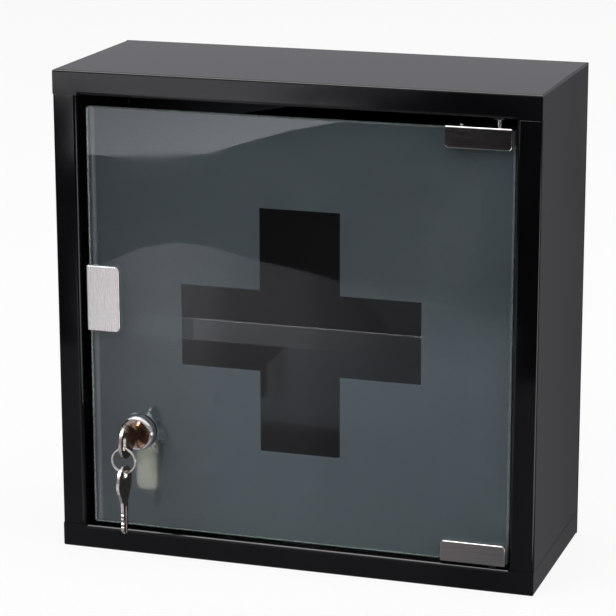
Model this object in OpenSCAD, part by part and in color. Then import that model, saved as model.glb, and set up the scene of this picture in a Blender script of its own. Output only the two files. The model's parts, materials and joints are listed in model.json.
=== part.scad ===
// Lockable wall cabinet for medicines: a welded sheet-steel box with an inset glass door.
// The door turns on pivot clamps, shuts on a magnetic push latch and locks with a cam lock.
// Frame: origin at the middle of the base, +X to the right, +Y to the back, +Z up, millimetres.

/* [Box] */
// Overall width
cabinet_w = 300; // [240:5:400]
// Overall height
cabinet_h = 300; // [240:5:400]
// Overall depth
cabinet_d = 120; // [100:5:180]
// Thickness of the sheet steel
sheet = 1; // [0.8:0.1:1.4]
// Width of the frame around the door opening
frame_w = 15; // [13:1:22]
// Depth of the flanges that turn in around the opening
return_d = 12; // [11:1:15]
// Width of the flanges that carry the back panel
rear_flange_w = 13; // [8:1:20]
// Outer radius of the bends at the box's outside edges
edge_r = 1.4; // [1.3:0.1:1.6]
// Outer radius of the bends around the opening
opening_r = 2.2; // [1.8:0.1:2.4]
// Gap left between two sheets at a seam
seam = 0.2; // [0.1:0.05:0.4]
// How far the welded lap strips reach past a seam
lap = 8; // [5:1:9]

/* [Hanging holes] */
// Distance between the two keyholes, and between the two lower holes
hanger_spacing = 200; // [120:10:200]
// Distance of the keyholes' round entries below the top
keyhole_drop = 60; // [36:1:80]
// Diameter of a keyhole's round entry
keyhole_d = 9; // [7:0.5:11]
// Width of a keyhole's slot
keyhole_slot_w = 4.6; // [3.6:0.2:5.2]
// Length of the slot above the entry's centre
keyhole_slot_h = 9; // [8:0.5:12]
// Height of the lower holes above the base
lower_hole_z = 40; // [25:1:60]
// Diameter of the lower holes
lower_hole_d = 5; // [4:0.5:6]

/* [Shelf] */
// Height of the shelf's top face above the base
shelf_z = 150; // [130:1:152]
// Depth of the shelf's front edge behind the front of the box
shelf_front = 15.5; // [14.5:0.5:30]
// Height of the shelf's front lip
shelf_lip_h = 14; // [8:1:20]
// Height of the shelf's rear lip
shelf_rear_h = 10; // [6:1:15]
// Outer radius of the shelf's bends
shelf_r = 1.6; // [1.5:0.1:2]
// Gap between the shelf and the walls
shelf_gap = 0.4; // [0.2:0.1:0.8]
// Width of both legs of the angle rails under the shelf
rail_w = 12; // [10:1:16]
// Distance of the shelf screws from the ends of the rails
rail_screw_inset = 16; // [12:1:24]

/* [Door] */
// Thickness of the glass
glass_t = 4; // [3.6:0.1:4.2]
// Depth of the glass's front face behind the front of the box
glass_inset = 1.5; // [1.4:0.1:1.8]
// Gap between the glass and the opening on the latch side
gap_latch_side = 5.5; // [5:0.5:8]
// Gap between the glass and the opening on the hinge side
gap_hinge_side = 1.5; // [1.4:0.1:1.9]
// Gap between the glass and the opening at the top
gap_top = 6.6; // [6.2:0.1:8]
// Gap between the glass and the opening at the bottom
gap_bottom = 2.4; // [2.4:0.1:3]
// Radius of the glass's corners
glass_corner_r = 1.5; // [1:0.5:3]

/* [Hinges] */
// Distance of the pivot from the hinge side of the opening
pivot_inset = 11; // [11:0.5:12]
// Depth of the pivot behind the front of the box
pivot_depth = 4.6; // [4.5:0.1:4.8]
// Length of a hinge clamp
clamp_l = 40; // [34:1:50]
// Height of a hinge clamp
clamp_h = 13; // [11:1:16]
// Thickness of a clamp's front leg and web
clamp_t = 1; // [0.8:0.1:1.1]
// Thickness of a clamp's threaded rear leg
clamp_rear_t = 2.2; // [1.8:0.1:2.6]
// Distance from the pivot to the near end of the clamp
clamp_overhang = 8.5; // [8:0.1:8.7]
// Radius of the clamp's free corners
clamp_corner_r = 2.5; // [1.5:0.5:4]
// Thickness of the pads between clamp and glass
pad_t = 0.3; // [0.2:0.05:0.35]
// Diameter of the hinge pins
pin_d = 3; // [2.6:0.1:3.2]
// Length of pin inside each bush, less than the door can be lifted
pin_engagement = 4.2; // [3.4:0.1:4.4]
// Running clearance on radius between pin and bush
pin_clearance = 0.05; // [0.03:0.01:0.08]
// Wall of the nylon bushes
bush_wall = 0.75; // [0.6:0.05:0.8]
// Thickness of the bushes' flanges
bush_flange_t = 1; // [0.8:0.1:1]
// Width of the bushes' flanges around their sleeve
bush_flange_w = 1.2; // [1:0.1:1.6]
// Diameter of the clamps' set screws
set_screw_d = 4; // [3:0.5:5]
// Distance of each set screw from the middle of the clamp
set_screw_offset = 11; // [8:1:13]

/* [Edge handle] */
// Width of the handle plate
handle_w = 21; // [18:1:26]
// Height of the handle plate
handle_h = 40.5; // [32:0.5:48]
// Thickness of the handle's sheet
handle_t = 1; // [0.8:0.1:1]
// Thickness of the rubber liner between handle and glass
liner_t = 0.4; // [0.3:0.05:0.4]
// Radius of the handle's free corners
handle_corner_r = 3; // [2:0.5:5]
// Diameter of the handle's grub screw
grub_d = 3; // [2.5:0.5:4]

/* [Push latch] */
// Gap between the shelf and the latch body above it, which also sets the handle's height
latch_shelf_gap = 2.7; // [1:0.1:6]
// Side of the square latch body
latch_side = 16; // [15:0.5:17]
// Length of the latch body from front to back
latch_l = 34; // [30:1:40]
// Diameter of the latch plunger
plunger_d = 9; // [8:0.2:9.4]
// Diameter of the plunger's guided head
plunger_head_d = 11; // [10.6:0.1:11.2]
// Running clearance on radius between plunger and body
plunger_clearance = 0.1; // [0.06:0.01:0.1]
// How far the plunger can be pushed in
plunger_travel = 3; // [2:0.5:4]
// Gap between the plunger's magnet and the handle's rear leg
magnet_gap = 0.3; // [0.2:0.05:0.5]
// Thickness of the magnet
magnet_t = 2; // [1.5:0.1:2.4]
// Thickness of the latch bracket
bracket_t = 1; // [0.8:0.1:1.2]
// Height of the latch body's screw flange
latch_flange_h = 11; // [10:0.5:12]
// Diameter of the latch screws
latch_screw_d = 3; // [2.5:0.5:3]

/* [Cam lock] */
// Distance of the lock's axis from the latch side of the opening
lock_inset = 36.5; // [34:0.5:42]
// Height of the lock's axis above the base
lock_z = 78.5; // [74:0.5:90]
// Diameter of the bezel where it meets the glass
bezel_d = 22; // [20.5:0.5:25]
// Diameter of the bezel's front face
bezel_face_d = 17; // [16:0.5:19]
// How far the bezel stands out of the glass
bezel_h = 7; // [6:0.5:8]
// Outside diameter of the threaded barrel
barrel_d = 17.5; // [16.5:0.5:18]
// Clearance on radius between barrel and glass
barrel_clearance = 0.5; // [0.3:0.1:0.7]
// Diameter of the turning plug
plug_d = 11; // [10.6:0.1:11.4]
// Diameter of the plug's front face
plug_face_d = 14.6; // [14:0.1:15.2]
// Running clearance on radius between plug and barrel
plug_clearance = 0.05; // [0.03:0.01:0.08]
// Width across the flats of the barrel nut
lock_nut_af = 21; // [20:0.5:24]
// Thickness of the barrel nut
lock_nut_t = 4; // [3:0.5:5]
// Thickness of the rubber washers on both sides of the glass
washer_t = 0.5; // [0.3:0.1:0.5]
// Gap between the cam and the flange that it turns behind
cam_gap = 1.5; // [1:0.1:2]
// Thickness of the cam
cam_t = 1.8; // [1.5:0.1:2]
// Width of the cam
cam_w = 13; // [11:0.5:15]
// Distance from the lock's axis to the cam's tip
cam_reach = 40; // [40:0.5:46]
// Side of the square tail that drives the cam
tail_side = 7; // [6:0.2:7.4]

/* [Keys] */
// Thickness of the key blank
key_t = 2; // [1.6:0.1:2.2]
// Width of the key's blade
blade_w = 7.4; // [6.6:0.1:7.6]
// Length of the key's blade
blade_l = 20.5; // [19.5:0.1:20.6]
// Length of the key's bow
bow_l = 22.5; // [20:0.5:25]
// Radius of the key's bow
bow_r = 10.3; // [8.5:0.1:11]
// Length of blade that stays outside the lock
key_stop = 3.1; // [2.8:0.1:4]
// Clearance around the blade in the plug
key_clearance = 0.1; // [0.05:0.01:0.15]
// Length of the slot in the bow, across the key
bow_slot_l = 8; // [6:0.2:9]
// Width of the slot in the bow, along the key
bow_slot_w = 4.4; // [3.6:0.1:5]
// Width of metal between the slot and the bow's outer end
bow_rim = 3.3; // [2.6:0.1:4]
// Radius of the key ring to the middle of its wire
ring_r = 7.5; // [7:0.1:9]
// Diameter of the key ring's wire
ring_wire = 1.3; // [1:0.1:1.6]
// Gap between the ring's wire and the edge of a bow's slot
ring_gap = 0.3; // [0.2:0.05:0.4]

/* [Fasteners] */
// Thread diameter of the shelf screws
shelf_screw_d = 4; // [3:0.5:4]
// Clearance on radius around the screws
screw_clearance = 0.25; // [0.15:0.05:0.3]

/* [Hidden] */
$fn = 64;

half_w = cabinet_w / 2;
front_y = -cabinet_d / 2;
back_y = cabinet_d / 2;
open_x = half_w - frame_w;
open_z0 = frame_w;
open_z1 = cabinet_h - frame_w;
inner_back_y = back_y - 2 * sheet;
return_relief = 0.6;
panel_corner_r = 0.5;

// Hinge line and door
pivot_x = open_x - pivot_inset;
pivot_y = front_y + pivot_depth;
glass_x0 = -open_x + gap_latch_side;
glass_x1 = open_x - gap_hinge_side;
glass_y0 = front_y + glass_inset;
glass_y1 = glass_y0 + glass_t;
glass_z0 = open_z0 + gap_bottom;
glass_z1 = open_z1 - gap_top;
edge_clearance = 0.1;
clamp_x1 = pivot_x + clamp_overhang;
clamp_x0 = clamp_x1 - clamp_l;
clamp_mid_x = (clamp_x0 + clamp_x1) / 2;
clamp_y0 = glass_y0 - pad_t - clamp_t;
clamp_y1 = glass_y1 + pad_t + clamp_rear_t;
lower_clamp_z0 = glass_z0 - edge_clearance - clamp_t;
upper_clamp_z1 = glass_z1 + edge_clearance + clamp_t;
pad_margin = 1;
clamp_mid_y = (clamp_y0 + clamp_y1) / 2;
clamp_screw_h = clamp_h / 2 + edge_clearance;
set_screw_stand = 0.5;
rivet_d = 2;
rivet_x = clamp_x0 + 9.5;

// Bushes
bush_bore_r = pin_d / 2 + pin_clearance;
bush_r = bush_bore_r + bush_wall;

// Handle, centred on the latch
handle_z = shelf_z + latch_shelf_gap + latch_side / 2;
handle_x0 = glass_x0 - liner_t - handle_t;
handle_x1 = handle_x0 + handle_w;
handle_y0 = glass_y0 - liner_t - handle_t;
handle_y1 = glass_y1 + liner_t + handle_t;
handle_mid_x = (handle_x0 + handle_x1) / 2;
grub_z = handle_z + handle_h / 2 - 2 * grub_d;

// Push latch
latch_x = handle_mid_x;
latch_z = handle_z;
latch_y0 = front_y + return_d + seam + 2 * bracket_t;
latch_y1 = latch_y0 + latch_l;
latch_wall = 2;
latch_cap_t = 2;
magnet_y0 = handle_y1 + magnet_gap;
magnet_r = plunger_d / 2 - 1.2;
magnet_stand = 0.3;
head_l = 3;
spring_y1 = latch_y1 - latch_cap_t;
spring_wire = 0.8;
spring_r = plunger_head_d / 2 - spring_wire;
spring_turns = 7;
spring_steps = 16;
spring_sides = 6;
spring_l = 12;
head_y1 = spring_y1 - spring_l;
head_y0 = head_y1 - head_l;
plunger_stop_y = spring_y1 - edge_clearance - plunger_travel;
bracket_x1 = latch_x - latch_side / 2;
bracket_x0 = bracket_x1 - bracket_t;
bracket_z0 = latch_z - latch_side / 2;
bracket_z1 = latch_z + latch_side / 2 + latch_flange_h;
latch_screw_z = bracket_z1 - latch_flange_h / 2;
latch_screw_inset = 6;
latch_flange_t = 2;

// Lock and keys
lock_x = -open_x + lock_inset;
lock_face_y = glass_y0 - bezel_h;
cam_y0 = front_y + return_d + cam_gap;
cam_y1 = cam_y0 + cam_t;
barrel_y1 = cam_y0 - 0.2;
plug_head_l = 1.2;
key_tip_y = lock_face_y - key_stop + blade_l;
key_slot_y1 = key_tip_y + 0.4;
cam_screw_d = 4;
wafer_count = 4;
wafer_pitch = 2.6;
wafer_t = 0.9;
wafer_w = 5.6;
wafer_h = 9.1;
wafer_gap = 0.05;
wafer_y0 = lock_face_y + plug_head_l + 2.6;
key_shoulder = 0.9;
key_tip_l = 2.6;
key_cuts = [1.1, 0.7, 1.3, 0.9];
key_cut_x = key_stop + wafer_y0 + wafer_t / 2 - lock_face_y;
key_groove_d = 0.5;
bow_tip_y = lock_face_y - key_stop - bow_l;
ring_y = bow_tip_y + bow_rim + bow_slot_w / 2;
ring_top_z = lock_z - bow_slot_l / 2 + ring_gap + ring_wire / 2;
ring_z = ring_top_z - ring_r;
ring_bottom_z = ring_z - ring_r;
spare_top_z = ring_bottom_z + ring_wire / 2 + ring_gap + bow_rim;

// Fasteners: head and nut sizes follow the thread
function head_r(d) = 0.95 * d;
function head_h(d) = 0.6 * d;
function nut_af(d) = 1.75 * d;
function nut_t(d) = 0.8 * d;

steel_black = [0.07, 0.07, 0.08];
steel_bright = [0.78, 0.77, 0.76];
chrome = [0.85, 0.84, 0.82];
zinc = [0.66, 0.66, 0.64];
nylon_black = [0.12, 0.12, 0.12];
rubber_grey = [0.25, 0.25, 0.25];

// ---------- shared shapes ----------

// Square between two corners with its four corners rounded: radii at
// [x0 y0, x1 y0, x1 y1, x0 y1].
module plate_2d(a, b, r = [0, 0, 0, 0]) {
  corners = [
    [a.x, a.y, 1, 1], [b.x, a.y, -1, 1], [b.x, b.y, -1, -1], [a.x, b.y, 1, -1]
  ];
  difference() {
    translate(a) square([b.x - a.x, b.y - a.y]);
    for (i = [0:3])
      if (r[i] > 0)
        translate([corners[i][0], corners[i][1]])
          corner_waste(corners[i][2], corners[i][3], r[i]);
  }
}

// Waste outside a quarter circle, for a corner whose inside lies towards +sx, +sy
module corner_waste(sx, sy, r) {
  mirror([sx < 0 ? 1 : 0, 0]) mirror([0, sy < 0 ? 1 : 0])
    difference() {
      translate([-r, -r]) square(2 * r);
      translate([r, r]) circle(r);
      translate([-r, r]) square([3 * r, 3 * r]);
      translate([r, -r]) square([3 * r, 3 * r]);
    }
}

// Box between two corners
module block(a, b) {
  translate(a) cube(b - a);
}

// 2D shape in the XZ plane, extruded from y0 to y1
module along_y(y0, y1) {
  translate([0, y1, 0]) rotate([90, 0, 0]) linear_extrude(y1 - y0) children();
}

// 2D shape whose X is the row's Y and whose Y is the row's Z, extruded from x0 to x1
module along_x(x0, x1) {
  translate([x0, 0, 0]) rotate([90, 0, 90]) linear_extrude(x1 - x0) children();
}

// Solid cylinder along Y
module rod_y(x, z, r, y0, y1) {
  translate([x, y1, z]) rotate([90, 0, 0]) cylinder(r = r, h = y1 - y0);
}

// Solid cylinder along X
module rod_x(y, z, r, x0, x1) {
  translate([x0, y, z]) rotate([0, 90, 0]) cylinder(r = r, h = x1 - x0);
}

// Hexagon with a given width across its flats
module hexagon(af) {
  circle(r = af / sqrt(3), $fn = 6);
}

// ---------- box ----------

// Plan section of a side panel on the +X side: return, front column, side wall, rear flange
module side_section() {
  y_end = back_y - sheet;
  difference() {
    plate_2d([open_x, front_y], [half_w, y_end], [opening_r, edge_r, edge_r, 0]);
    plate_2d([open_x + sheet, front_y + sheet], [half_w - sheet, y_end - sheet],
             [opening_r - sheet, edge_r - sheet, edge_r - sheet, 0]);
    translate([open_x - sheet, front_y + return_d])
      square([frame_w + sheet - 2 * edge_r, cabinet_d]);
  }
  translate([half_w - rear_flange_w, y_end - sheet])
    square([rear_flange_w - 1.5 * edge_r, sheet]);
}

// Strips welded inside the ends of a side panel, which the covers slide over.
// Each strip's weld reaches half-way into the panel's own sheet.
module lap_strips() {
  strip_y0 = front_y + 2 * sheet + edge_r;
  strip_y1 = inner_back_y - edge_r;
  column_x0 = open_x + sheet + opening_r;
  column_x1 = half_w - 2 * sheet - edge_r;
  for (z = [open_z0, open_z1]) {
    weld_z0 = z == open_z0 ? z + 2 * seam : z - lap;
    weld_z1 = z == open_z0 ? z + lap : z - 2 * seam;
    block([half_w - 2 * sheet, strip_y0, z - lap], [half_w - sheet, strip_y1, z + lap]);
    block([half_w - 2 * sheet, strip_y0, weld_z0], [half_w - sheet / 2, strip_y1, weld_z1]);
    block([column_x0, front_y + sheet, z - lap], [column_x1, front_y + 2 * sheet, z + lap]);
    block([column_x0, front_y + sheet / 2, weld_z0], [column_x1, front_y + 2 * sheet, weld_z1]);
  }
}

module side_panel_right() {
  color(steel_black) {
    translate([0, 0, open_z0 + seam])
      linear_extrude(open_z1 - open_z0 - 2 * seam) side_section();
    lap_strips();
  }
}

module side_panel_left() {
  mirror([1, 0, 0]) side_panel_right();
}

// Hole of a keyhole hanger: a round entry with a narrower slot above it
module keyhole(x, z) {
  rod_y(x, z, keyhole_d / 2, back_y - 2 * sheet, back_y + sheet);
  rod_y(x, z + keyhole_slot_h, keyhole_slot_w / 2, back_y - 2 * sheet, back_y + sheet);
  block([x - keyhole_slot_w / 2, back_y - 2 * sheet, z],
        [x + keyhole_slot_w / 2, back_y + sheet, z + keyhole_slot_h]);
}

module back_panel() {
  color(steel_black) difference() {
    along_y(back_y - sheet, back_y)
      plate_2d([-half_w, 0], [half_w, cabinet_h], panel_corner_r * [1, 1, 1, 1]);
    for (x = [-hanger_spacing / 2, hanger_spacing / 2]) {
      keyhole(x, cabinet_h - keyhole_drop);
      rod_y(x, lower_hole_z, lower_hole_d / 2, back_y - 2 * sheet, back_y + sheet);
    }
  }
}

// Bent front edge of a cover over the door opening, as a section in the YZ plane
module return_section() {
  difference() {
    plate_2d([front_y, frame_w - 2 * opening_r], [front_y + return_d, frame_w],
             [0, 0, 0, opening_r]);
    plate_2d([front_y + sheet, frame_w - 3 * opening_r],
             [front_y + return_d + sheet, frame_w - sheet], [0, 0, 0, opening_r - sheet]);
  }
}

// A cover lying on its outer plate, with its walls standing up to the frame's width
module cover_tray() {
  y_end = back_y - sheet;
  return_x = open_x - return_relief;
  difference() {
    union() {
      difference() {
        intersection() {
          along_y(front_y, y_end)
            plate_2d([-half_w, 0], [half_w, frame_w], [edge_r, edge_r, 0, 0]);
          along_x(-half_w, half_w)
            plate_2d([front_y, 0], [y_end, frame_w], [edge_r, 0, 0, 0]);
        }
        intersection() {
          along_y(front_y + sheet, y_end - sheet)
            plate_2d([-half_w + sheet, sheet], [half_w - sheet, 2 * frame_w],
                     [edge_r - sheet, edge_r - sheet, 0, 0]);
          along_x(-half_w, half_w)
            plate_2d([front_y + sheet, sheet], [y_end - sheet, 2 * frame_w],
                     [edge_r - sheet, 0, 0, 0]);
        }
        along_x(-return_x, return_x)
          translate([front_y, frame_w]) corner_waste(1, -1, opening_r);
      }
      along_x(-return_x, return_x) return_section();
    }
    for (side = [-1, 1])
      translate([side * (half_w - sheet / 2), front_y + sheet + seam / 2, frame_w])
        cube([2 * sheet, seam, 2 * (frame_w - edge_r - sheet)], center = true);
    translate([pivot_x, pivot_y, frame_w - 2 * sheet]) cylinder(r = bush_r, h = 3 * sheet);
  }
}

module bottom_cover() {
  color(steel_black) cover_tray();
}

module top_cover() {
  color(steel_black) translate([0, 0, cabinet_h]) mirror([0, 0, 1]) cover_tray();
}

// ---------- shelf ----------

shelf_half_w = half_w - sheet - shelf_gap;
shelf_y0 = front_y + shelf_front;
shelf_y1 = inner_back_y - shelf_gap;
rail_y0 = shelf_y0 + 2 * sheet;
rail_y1 = shelf_y1 - 2 * sheet;
rail_z1 = shelf_z - sheet;
rail_screw_x = half_w - sheet - rail_w / 2;
rail_screw_y = [rail_y0 + rail_screw_inset, rail_y1 - rail_screw_inset];

// Places its children at the four shelf screws, on the shelf's top face
module at_shelf_screws() {
  for (x = [-rail_screw_x, rail_screw_x], y = rail_screw_y)
    translate([x, y, shelf_z]) children();
}

// Section of the shelf in the YZ plane: front lip, plate, rear lip
module shelf_section() {
  difference() {
    plate_2d([shelf_y0, shelf_z - shelf_lip_h], [shelf_y1, shelf_z], [0, 0, shelf_r, shelf_r]);
    plate_2d([shelf_y0 + sheet, shelf_z - 2 * shelf_lip_h], [shelf_y1 - sheet, shelf_z - sheet],
             [0, 0, shelf_r - sheet, shelf_r - sheet]);
    translate([shelf_y1 - 2 * sheet, shelf_z - shelf_rear_h - 2 * shelf_lip_h])
      square([3 * sheet, 2 * shelf_lip_h]);
  }
}

module shelf() {
  color(steel_black) difference() {
    along_x(-shelf_half_w, shelf_half_w) shelf_section();
    at_shelf_screws()
      translate([0, 0, -2 * sheet])
        cylinder(r = shelf_screw_d / 2 + screw_clearance, h = 3 * sheet);
  }
}

// Angle under the +X end of the shelf, welded to the side wall
module shelf_rail_right() {
  x1 = half_w - sheet;
  color(steel_black) difference() {
    along_y(rail_y0, rail_y1) difference() {
      plate_2d([x1 - rail_w, rail_z1 - rail_w], [x1, rail_z1], [0, 0, shelf_r, 0]);
      plate_2d([x1 - 2 * rail_w, rail_z1 - 2 * rail_w], [x1 - sheet, rail_z1 - sheet],
               [0, 0, shelf_r - sheet, 0]);
    }
    at_shelf_screws()
      translate([0, 0, -3 * sheet])
        cylinder(r = shelf_screw_d / 2 + screw_clearance, h = 4 * sheet);
  }
}

module shelf_rail_left() {
  mirror([1, 0, 0]) shelf_rail_right();
}

module shelf_screws() {
  color(zinc) at_shelf_screws() pan_screw(shelf_screw_d, 2 * sheet + 1.3 * nut_t(shelf_screw_d));
}

module shelf_nuts() {
  color(zinc) at_shelf_screws()
    translate([0, 0, -2 * sheet - nut_t(shelf_screw_d)]) hex_nut(shelf_screw_d);
}

// ---------- fasteners ----------

// Pan-head screw standing on z = 0 with its shank down, and a cross recess in its head
module pan_screw(d, length) {
  difference() {
    union() {
      rotate_extrude()
        plate_2d([0, 0], [head_r(d), head_h(d)], [0, 0, 0.8 * head_h(d), 0]);
      translate([0, 0, -length]) cylinder(r = d / 2, h = length);
    }
    for (a = [0, 90])
      rotate(a) translate([0, 0, head_h(d)]) cube([1.1 * d, 0.22 * d, head_h(d)], center = true);
  }
}

// Hexagon nut standing on z = 0
module hex_nut(d) {
  linear_extrude(nut_t(d)) difference() {
    hexagon(nut_af(d));
    circle(d / 2);
  }
}

// Headless screw along Y with a hexagon socket at its rear end
module set_screw(x, z, d, y0, y1) {
  difference() {
    rod_y(x, z, d / 2, y0, y1);
    along_y(y1 - 0.5 * d, y1 + d) translate([x, z]) hexagon(0.5 * d);
  }
}

// ---------- hinges ----------

// Flanged bush standing on z = 0 with its sleeve pointing down
module hinge_bush() {
  sleeve = pin_engagement - bush_flange_t + sheet;
  difference() {
    union() {
      cylinder(r = bush_r + bush_flange_w, h = bush_flange_t);
      translate([0, 0, -sleeve]) cylinder(r = bush_r, h = sleeve + bush_flange_t);
    }
    translate([0, 0, -2 * sleeve]) cylinder(r = bush_bore_r, h = 3 * sleeve + bush_flange_t);
  }
}

module lower_hinge_bush() {
  color(nylon_black) translate([pivot_x, pivot_y, open_z0]) hinge_bush();
}

module upper_hinge_bush() {
  color(nylon_black) translate([pivot_x, pivot_y, open_z1]) mirror([0, 0, 1]) hinge_bush();
}

// Channel that grips the glass, with its web on z = 0 and its legs standing up
module hinge_clamp() {
  difference() {
    intersection() {
      along_x(clamp_x0, clamp_x1) difference() {
        plate_2d([clamp_y0, 0], [clamp_y1, clamp_h], [clamp_t, clamp_t, 0, 0]);
        translate([glass_y0 - pad_t, clamp_t]) square([glass_t + 2 * pad_t, clamp_h]);
      }
      along_y(clamp_y0, clamp_y1)
        plate_2d([clamp_x0, 0], [clamp_x1, clamp_h],
                 [0, 0, clamp_corner_r, clamp_corner_r]);
    }
    translate([pivot_x, pivot_y, -clamp_t]) cylinder(r = pin_d / 2, h = 3 * clamp_t);
    for (x = [clamp_mid_x - set_screw_offset, clamp_mid_x + set_screw_offset])
      rod_y(x, clamp_screw_h, set_screw_d / 2, glass_y1, clamp_y1 + clamp_t);
  }
}

module lower_hinge_clamp() {
  color(steel_bright) translate([0, 0, lower_clamp_z0]) hinge_clamp();
}

module upper_hinge_clamp() {
  color(steel_bright) difference() {
    translate([0, 0, upper_clamp_z1]) mirror([0, 0, 1]) hinge_clamp();
    translate([rivet_x, clamp_mid_y, upper_clamp_z1 - 2 * clamp_t])
      cylinder(r = rivet_d / 2, h = 3 * clamp_t);
  }
}

module lower_hinge_pin() {
  z0 = open_z0 + bush_flange_t - pin_engagement;
  color(zinc) translate([pivot_x, pivot_y, z0])
    cylinder(r = pin_d / 2, h = lower_clamp_z0 + clamp_t - z0);
}

module upper_hinge_pin() {
  z0 = upper_clamp_z1 - clamp_t;
  color(zinc) translate([pivot_x, pivot_y, z0])
    cylinder(r = pin_d / 2, h = open_z1 - bush_flange_t + pin_engagement - z0);
}

// Round-headed rivet in the web of the upper clamp
module clamp_rivet() {
  color(zinc) translate([rivet_x, clamp_mid_y, upper_clamp_z1]) {
    rotate_extrude()
      plate_2d([0, 0], [0.85 * rivet_d, 0.6 * rivet_d], [0, 0, 0.5 * rivet_d, 0]);
    translate([0, 0, -clamp_t]) cylinder(r = rivet_d / 2, h = clamp_t);
  }
}

// Rubber leaves in front of and behind the glass in both clamps
module clamp_pads() {
  z_near = clamp_t + edge_clearance + pad_margin;
  z_far = clamp_h - pad_margin;
  color(rubber_grey)
    for (z = [[lower_clamp_z0 + z_near, lower_clamp_z0 + z_far],
              [upper_clamp_z1 - z_far, upper_clamp_z1 - z_near]],
         y = [glass_y0 - pad_t, glass_y1])
      along_y(y, y + pad_t)
        plate_2d([clamp_x0 + pad_margin, z[0]], [clamp_x1 - pad_margin, z[1]]);
}

module clamp_set_screws() {
  color(zinc)
    for (z = [lower_clamp_z0 + clamp_screw_h, upper_clamp_z1 - clamp_screw_h],
         x = [clamp_mid_x - set_screw_offset, clamp_mid_x + set_screw_offset])
      set_screw(x, z, set_screw_d, glass_y1 + pad_t, clamp_y1 + set_screw_stand);
}

// ---------- glass and handle ----------

module door_glass() {
  color([0.62, 0.68, 0.70, 0.5]) difference() {
    along_y(glass_y0, glass_y1)
      plate_2d([glass_x0, glass_z0], [glass_x1, glass_z1], glass_corner_r * [1, 1, 1, 1]);
    rod_y(lock_x, lock_z, barrel_d / 2 + barrel_clearance, glass_y0 - 1, glass_y1 + 1);
  }
}

// Folded handle plate: front leg, web round the glass's edge, rear leg
module edge_handle() {
  z0 = handle_z - handle_h / 2;
  z1 = handle_z + handle_h / 2;
  color(steel_bright) difference() {
    intersection() {
      translate([0, 0, z0]) linear_extrude(handle_h) difference() {
        plate_2d([handle_x0, handle_y0], [handle_x1, handle_y1], [handle_t, 0, 0, handle_t]);
        translate([handle_x0 + handle_t, handle_y0 + handle_t])
          square([handle_w, handle_y1 - handle_y0 - 2 * handle_t]);
      }
      along_y(handle_y0, handle_y1)
        plate_2d([handle_x0, z0], [handle_x1, z1], [0, handle_corner_r, handle_corner_r, 0]);
    }
    rod_y(handle_mid_x, grub_z, grub_d / 2, glass_y1, handle_y1 + handle_t);
  }
}

// Rubber strip folded round the glass's edge inside the handle
module handle_liner() {
  x1 = handle_x1 - pad_margin;
  color(rubber_grey)
    translate([0, 0, handle_z - handle_h / 2 + pad_margin])
      linear_extrude(handle_h - 2 * pad_margin) difference() {
        plate_2d([glass_x0 - liner_t, glass_y0 - liner_t], [x1, glass_y1 + liner_t]);
        translate([glass_x0, glass_y0]) square([handle_w, glass_t]);
      }
}

module handle_grub_screw() {
  color(zinc)
    set_screw(handle_mid_x, grub_z, grub_d, glass_y1 + liner_t, handle_y1 + set_screw_stand);
}

// ---------- push latch ----------

// Z-shaped bracket from the hidden face of the left return to the side of the latch
module latch_bracket() {
  weld_x1 = -open_x - sheet;
  weld_x0 = weld_x1 - bracket_t;
  web_y0 = front_y + return_d + seam;
  color(steel_black) difference() {
    translate([0, 0, bracket_z0]) linear_extrude(bracket_z1 - bracket_z0) {
      translate([weld_x0, front_y + sheet + opening_r])
        square([bracket_t, web_y0 + bracket_t - front_y - sheet - opening_r]);
      translate([weld_x0, web_y0]) square([bracket_x1 - weld_x0, bracket_t]);
      translate([bracket_x0, web_y0]) square([bracket_t, latch_y1 - web_y0]);
    }
    at_latch_screws() rod_x(0, 0, latch_screw_d / 2 + screw_clearance, -2 * bracket_t, bracket_t);
  }
}

// Places its children at the two latch screws, on the face between bracket and latch
module at_latch_screws() {
  for (y = [latch_y0 + latch_screw_inset, latch_y1 - latch_screw_inset])
    translate([bracket_x1, y, latch_screw_z]) children();
}

module latch_body() {
  head_bore_r = plunger_head_d / 2 + plunger_clearance;
  color(nylon_black) difference() {
    union() {
      block([bracket_x1, latch_y0, latch_z - latch_side / 2],
            [bracket_x1 + latch_side, latch_y1, latch_z + latch_side / 2]);
      block([bracket_x1, latch_y0, latch_z],
            [bracket_x1 + latch_flange_t, latch_y1, bracket_z1]);
    }
    rod_y(latch_x, latch_z, plunger_d / 2 + plunger_clearance, latch_y0 - 1, latch_y1);
    rod_y(latch_x, latch_z, head_bore_r, latch_y0 + latch_wall, latch_y1 + 1);
    at_latch_screws()
      rod_x(0, 0, latch_screw_d / 2 + screw_clearance, -latch_flange_t, 2 * latch_flange_t);
  }
}

module latch_rear_cap() {
  color(nylon_black)
    rod_y(latch_x, latch_z, plunger_head_d / 2 + plunger_clearance, spring_y1, latch_y1);
}

module latch_screws() {
  color(zinc) at_latch_screws() translate([latch_flange_t, 0, 0]) rotate([0, 90, 0])
    pan_screw(latch_screw_d, latch_flange_t + bracket_t + 1.3 * nut_t(latch_screw_d));
}

module latch_nuts() {
  color(zinc) at_latch_screws() translate([-bracket_t, 0, 0]) rotate([0, -90, 0])
    hex_nut(latch_screw_d);
}

module latch_plunger() {
  color(nylon_black) difference() {
    union() {
      rod_y(latch_x, latch_z, plunger_d / 2, magnet_y0 + magnet_stand, head_y0);
      rod_y(latch_x, latch_z, plunger_head_d / 2, head_y0, head_y1);
      rod_y(latch_x, latch_z, spring_r - spring_wire, head_y1, plunger_stop_y);
    }
    rod_y(latch_x, latch_z, magnet_r, magnet_y0, magnet_y0 + magnet_t);
  }
}

module latch_magnet() {
  color(zinc) rod_y(latch_x, latch_z, magnet_r, magnet_y0, magnet_y0 + magnet_t);
}

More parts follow.
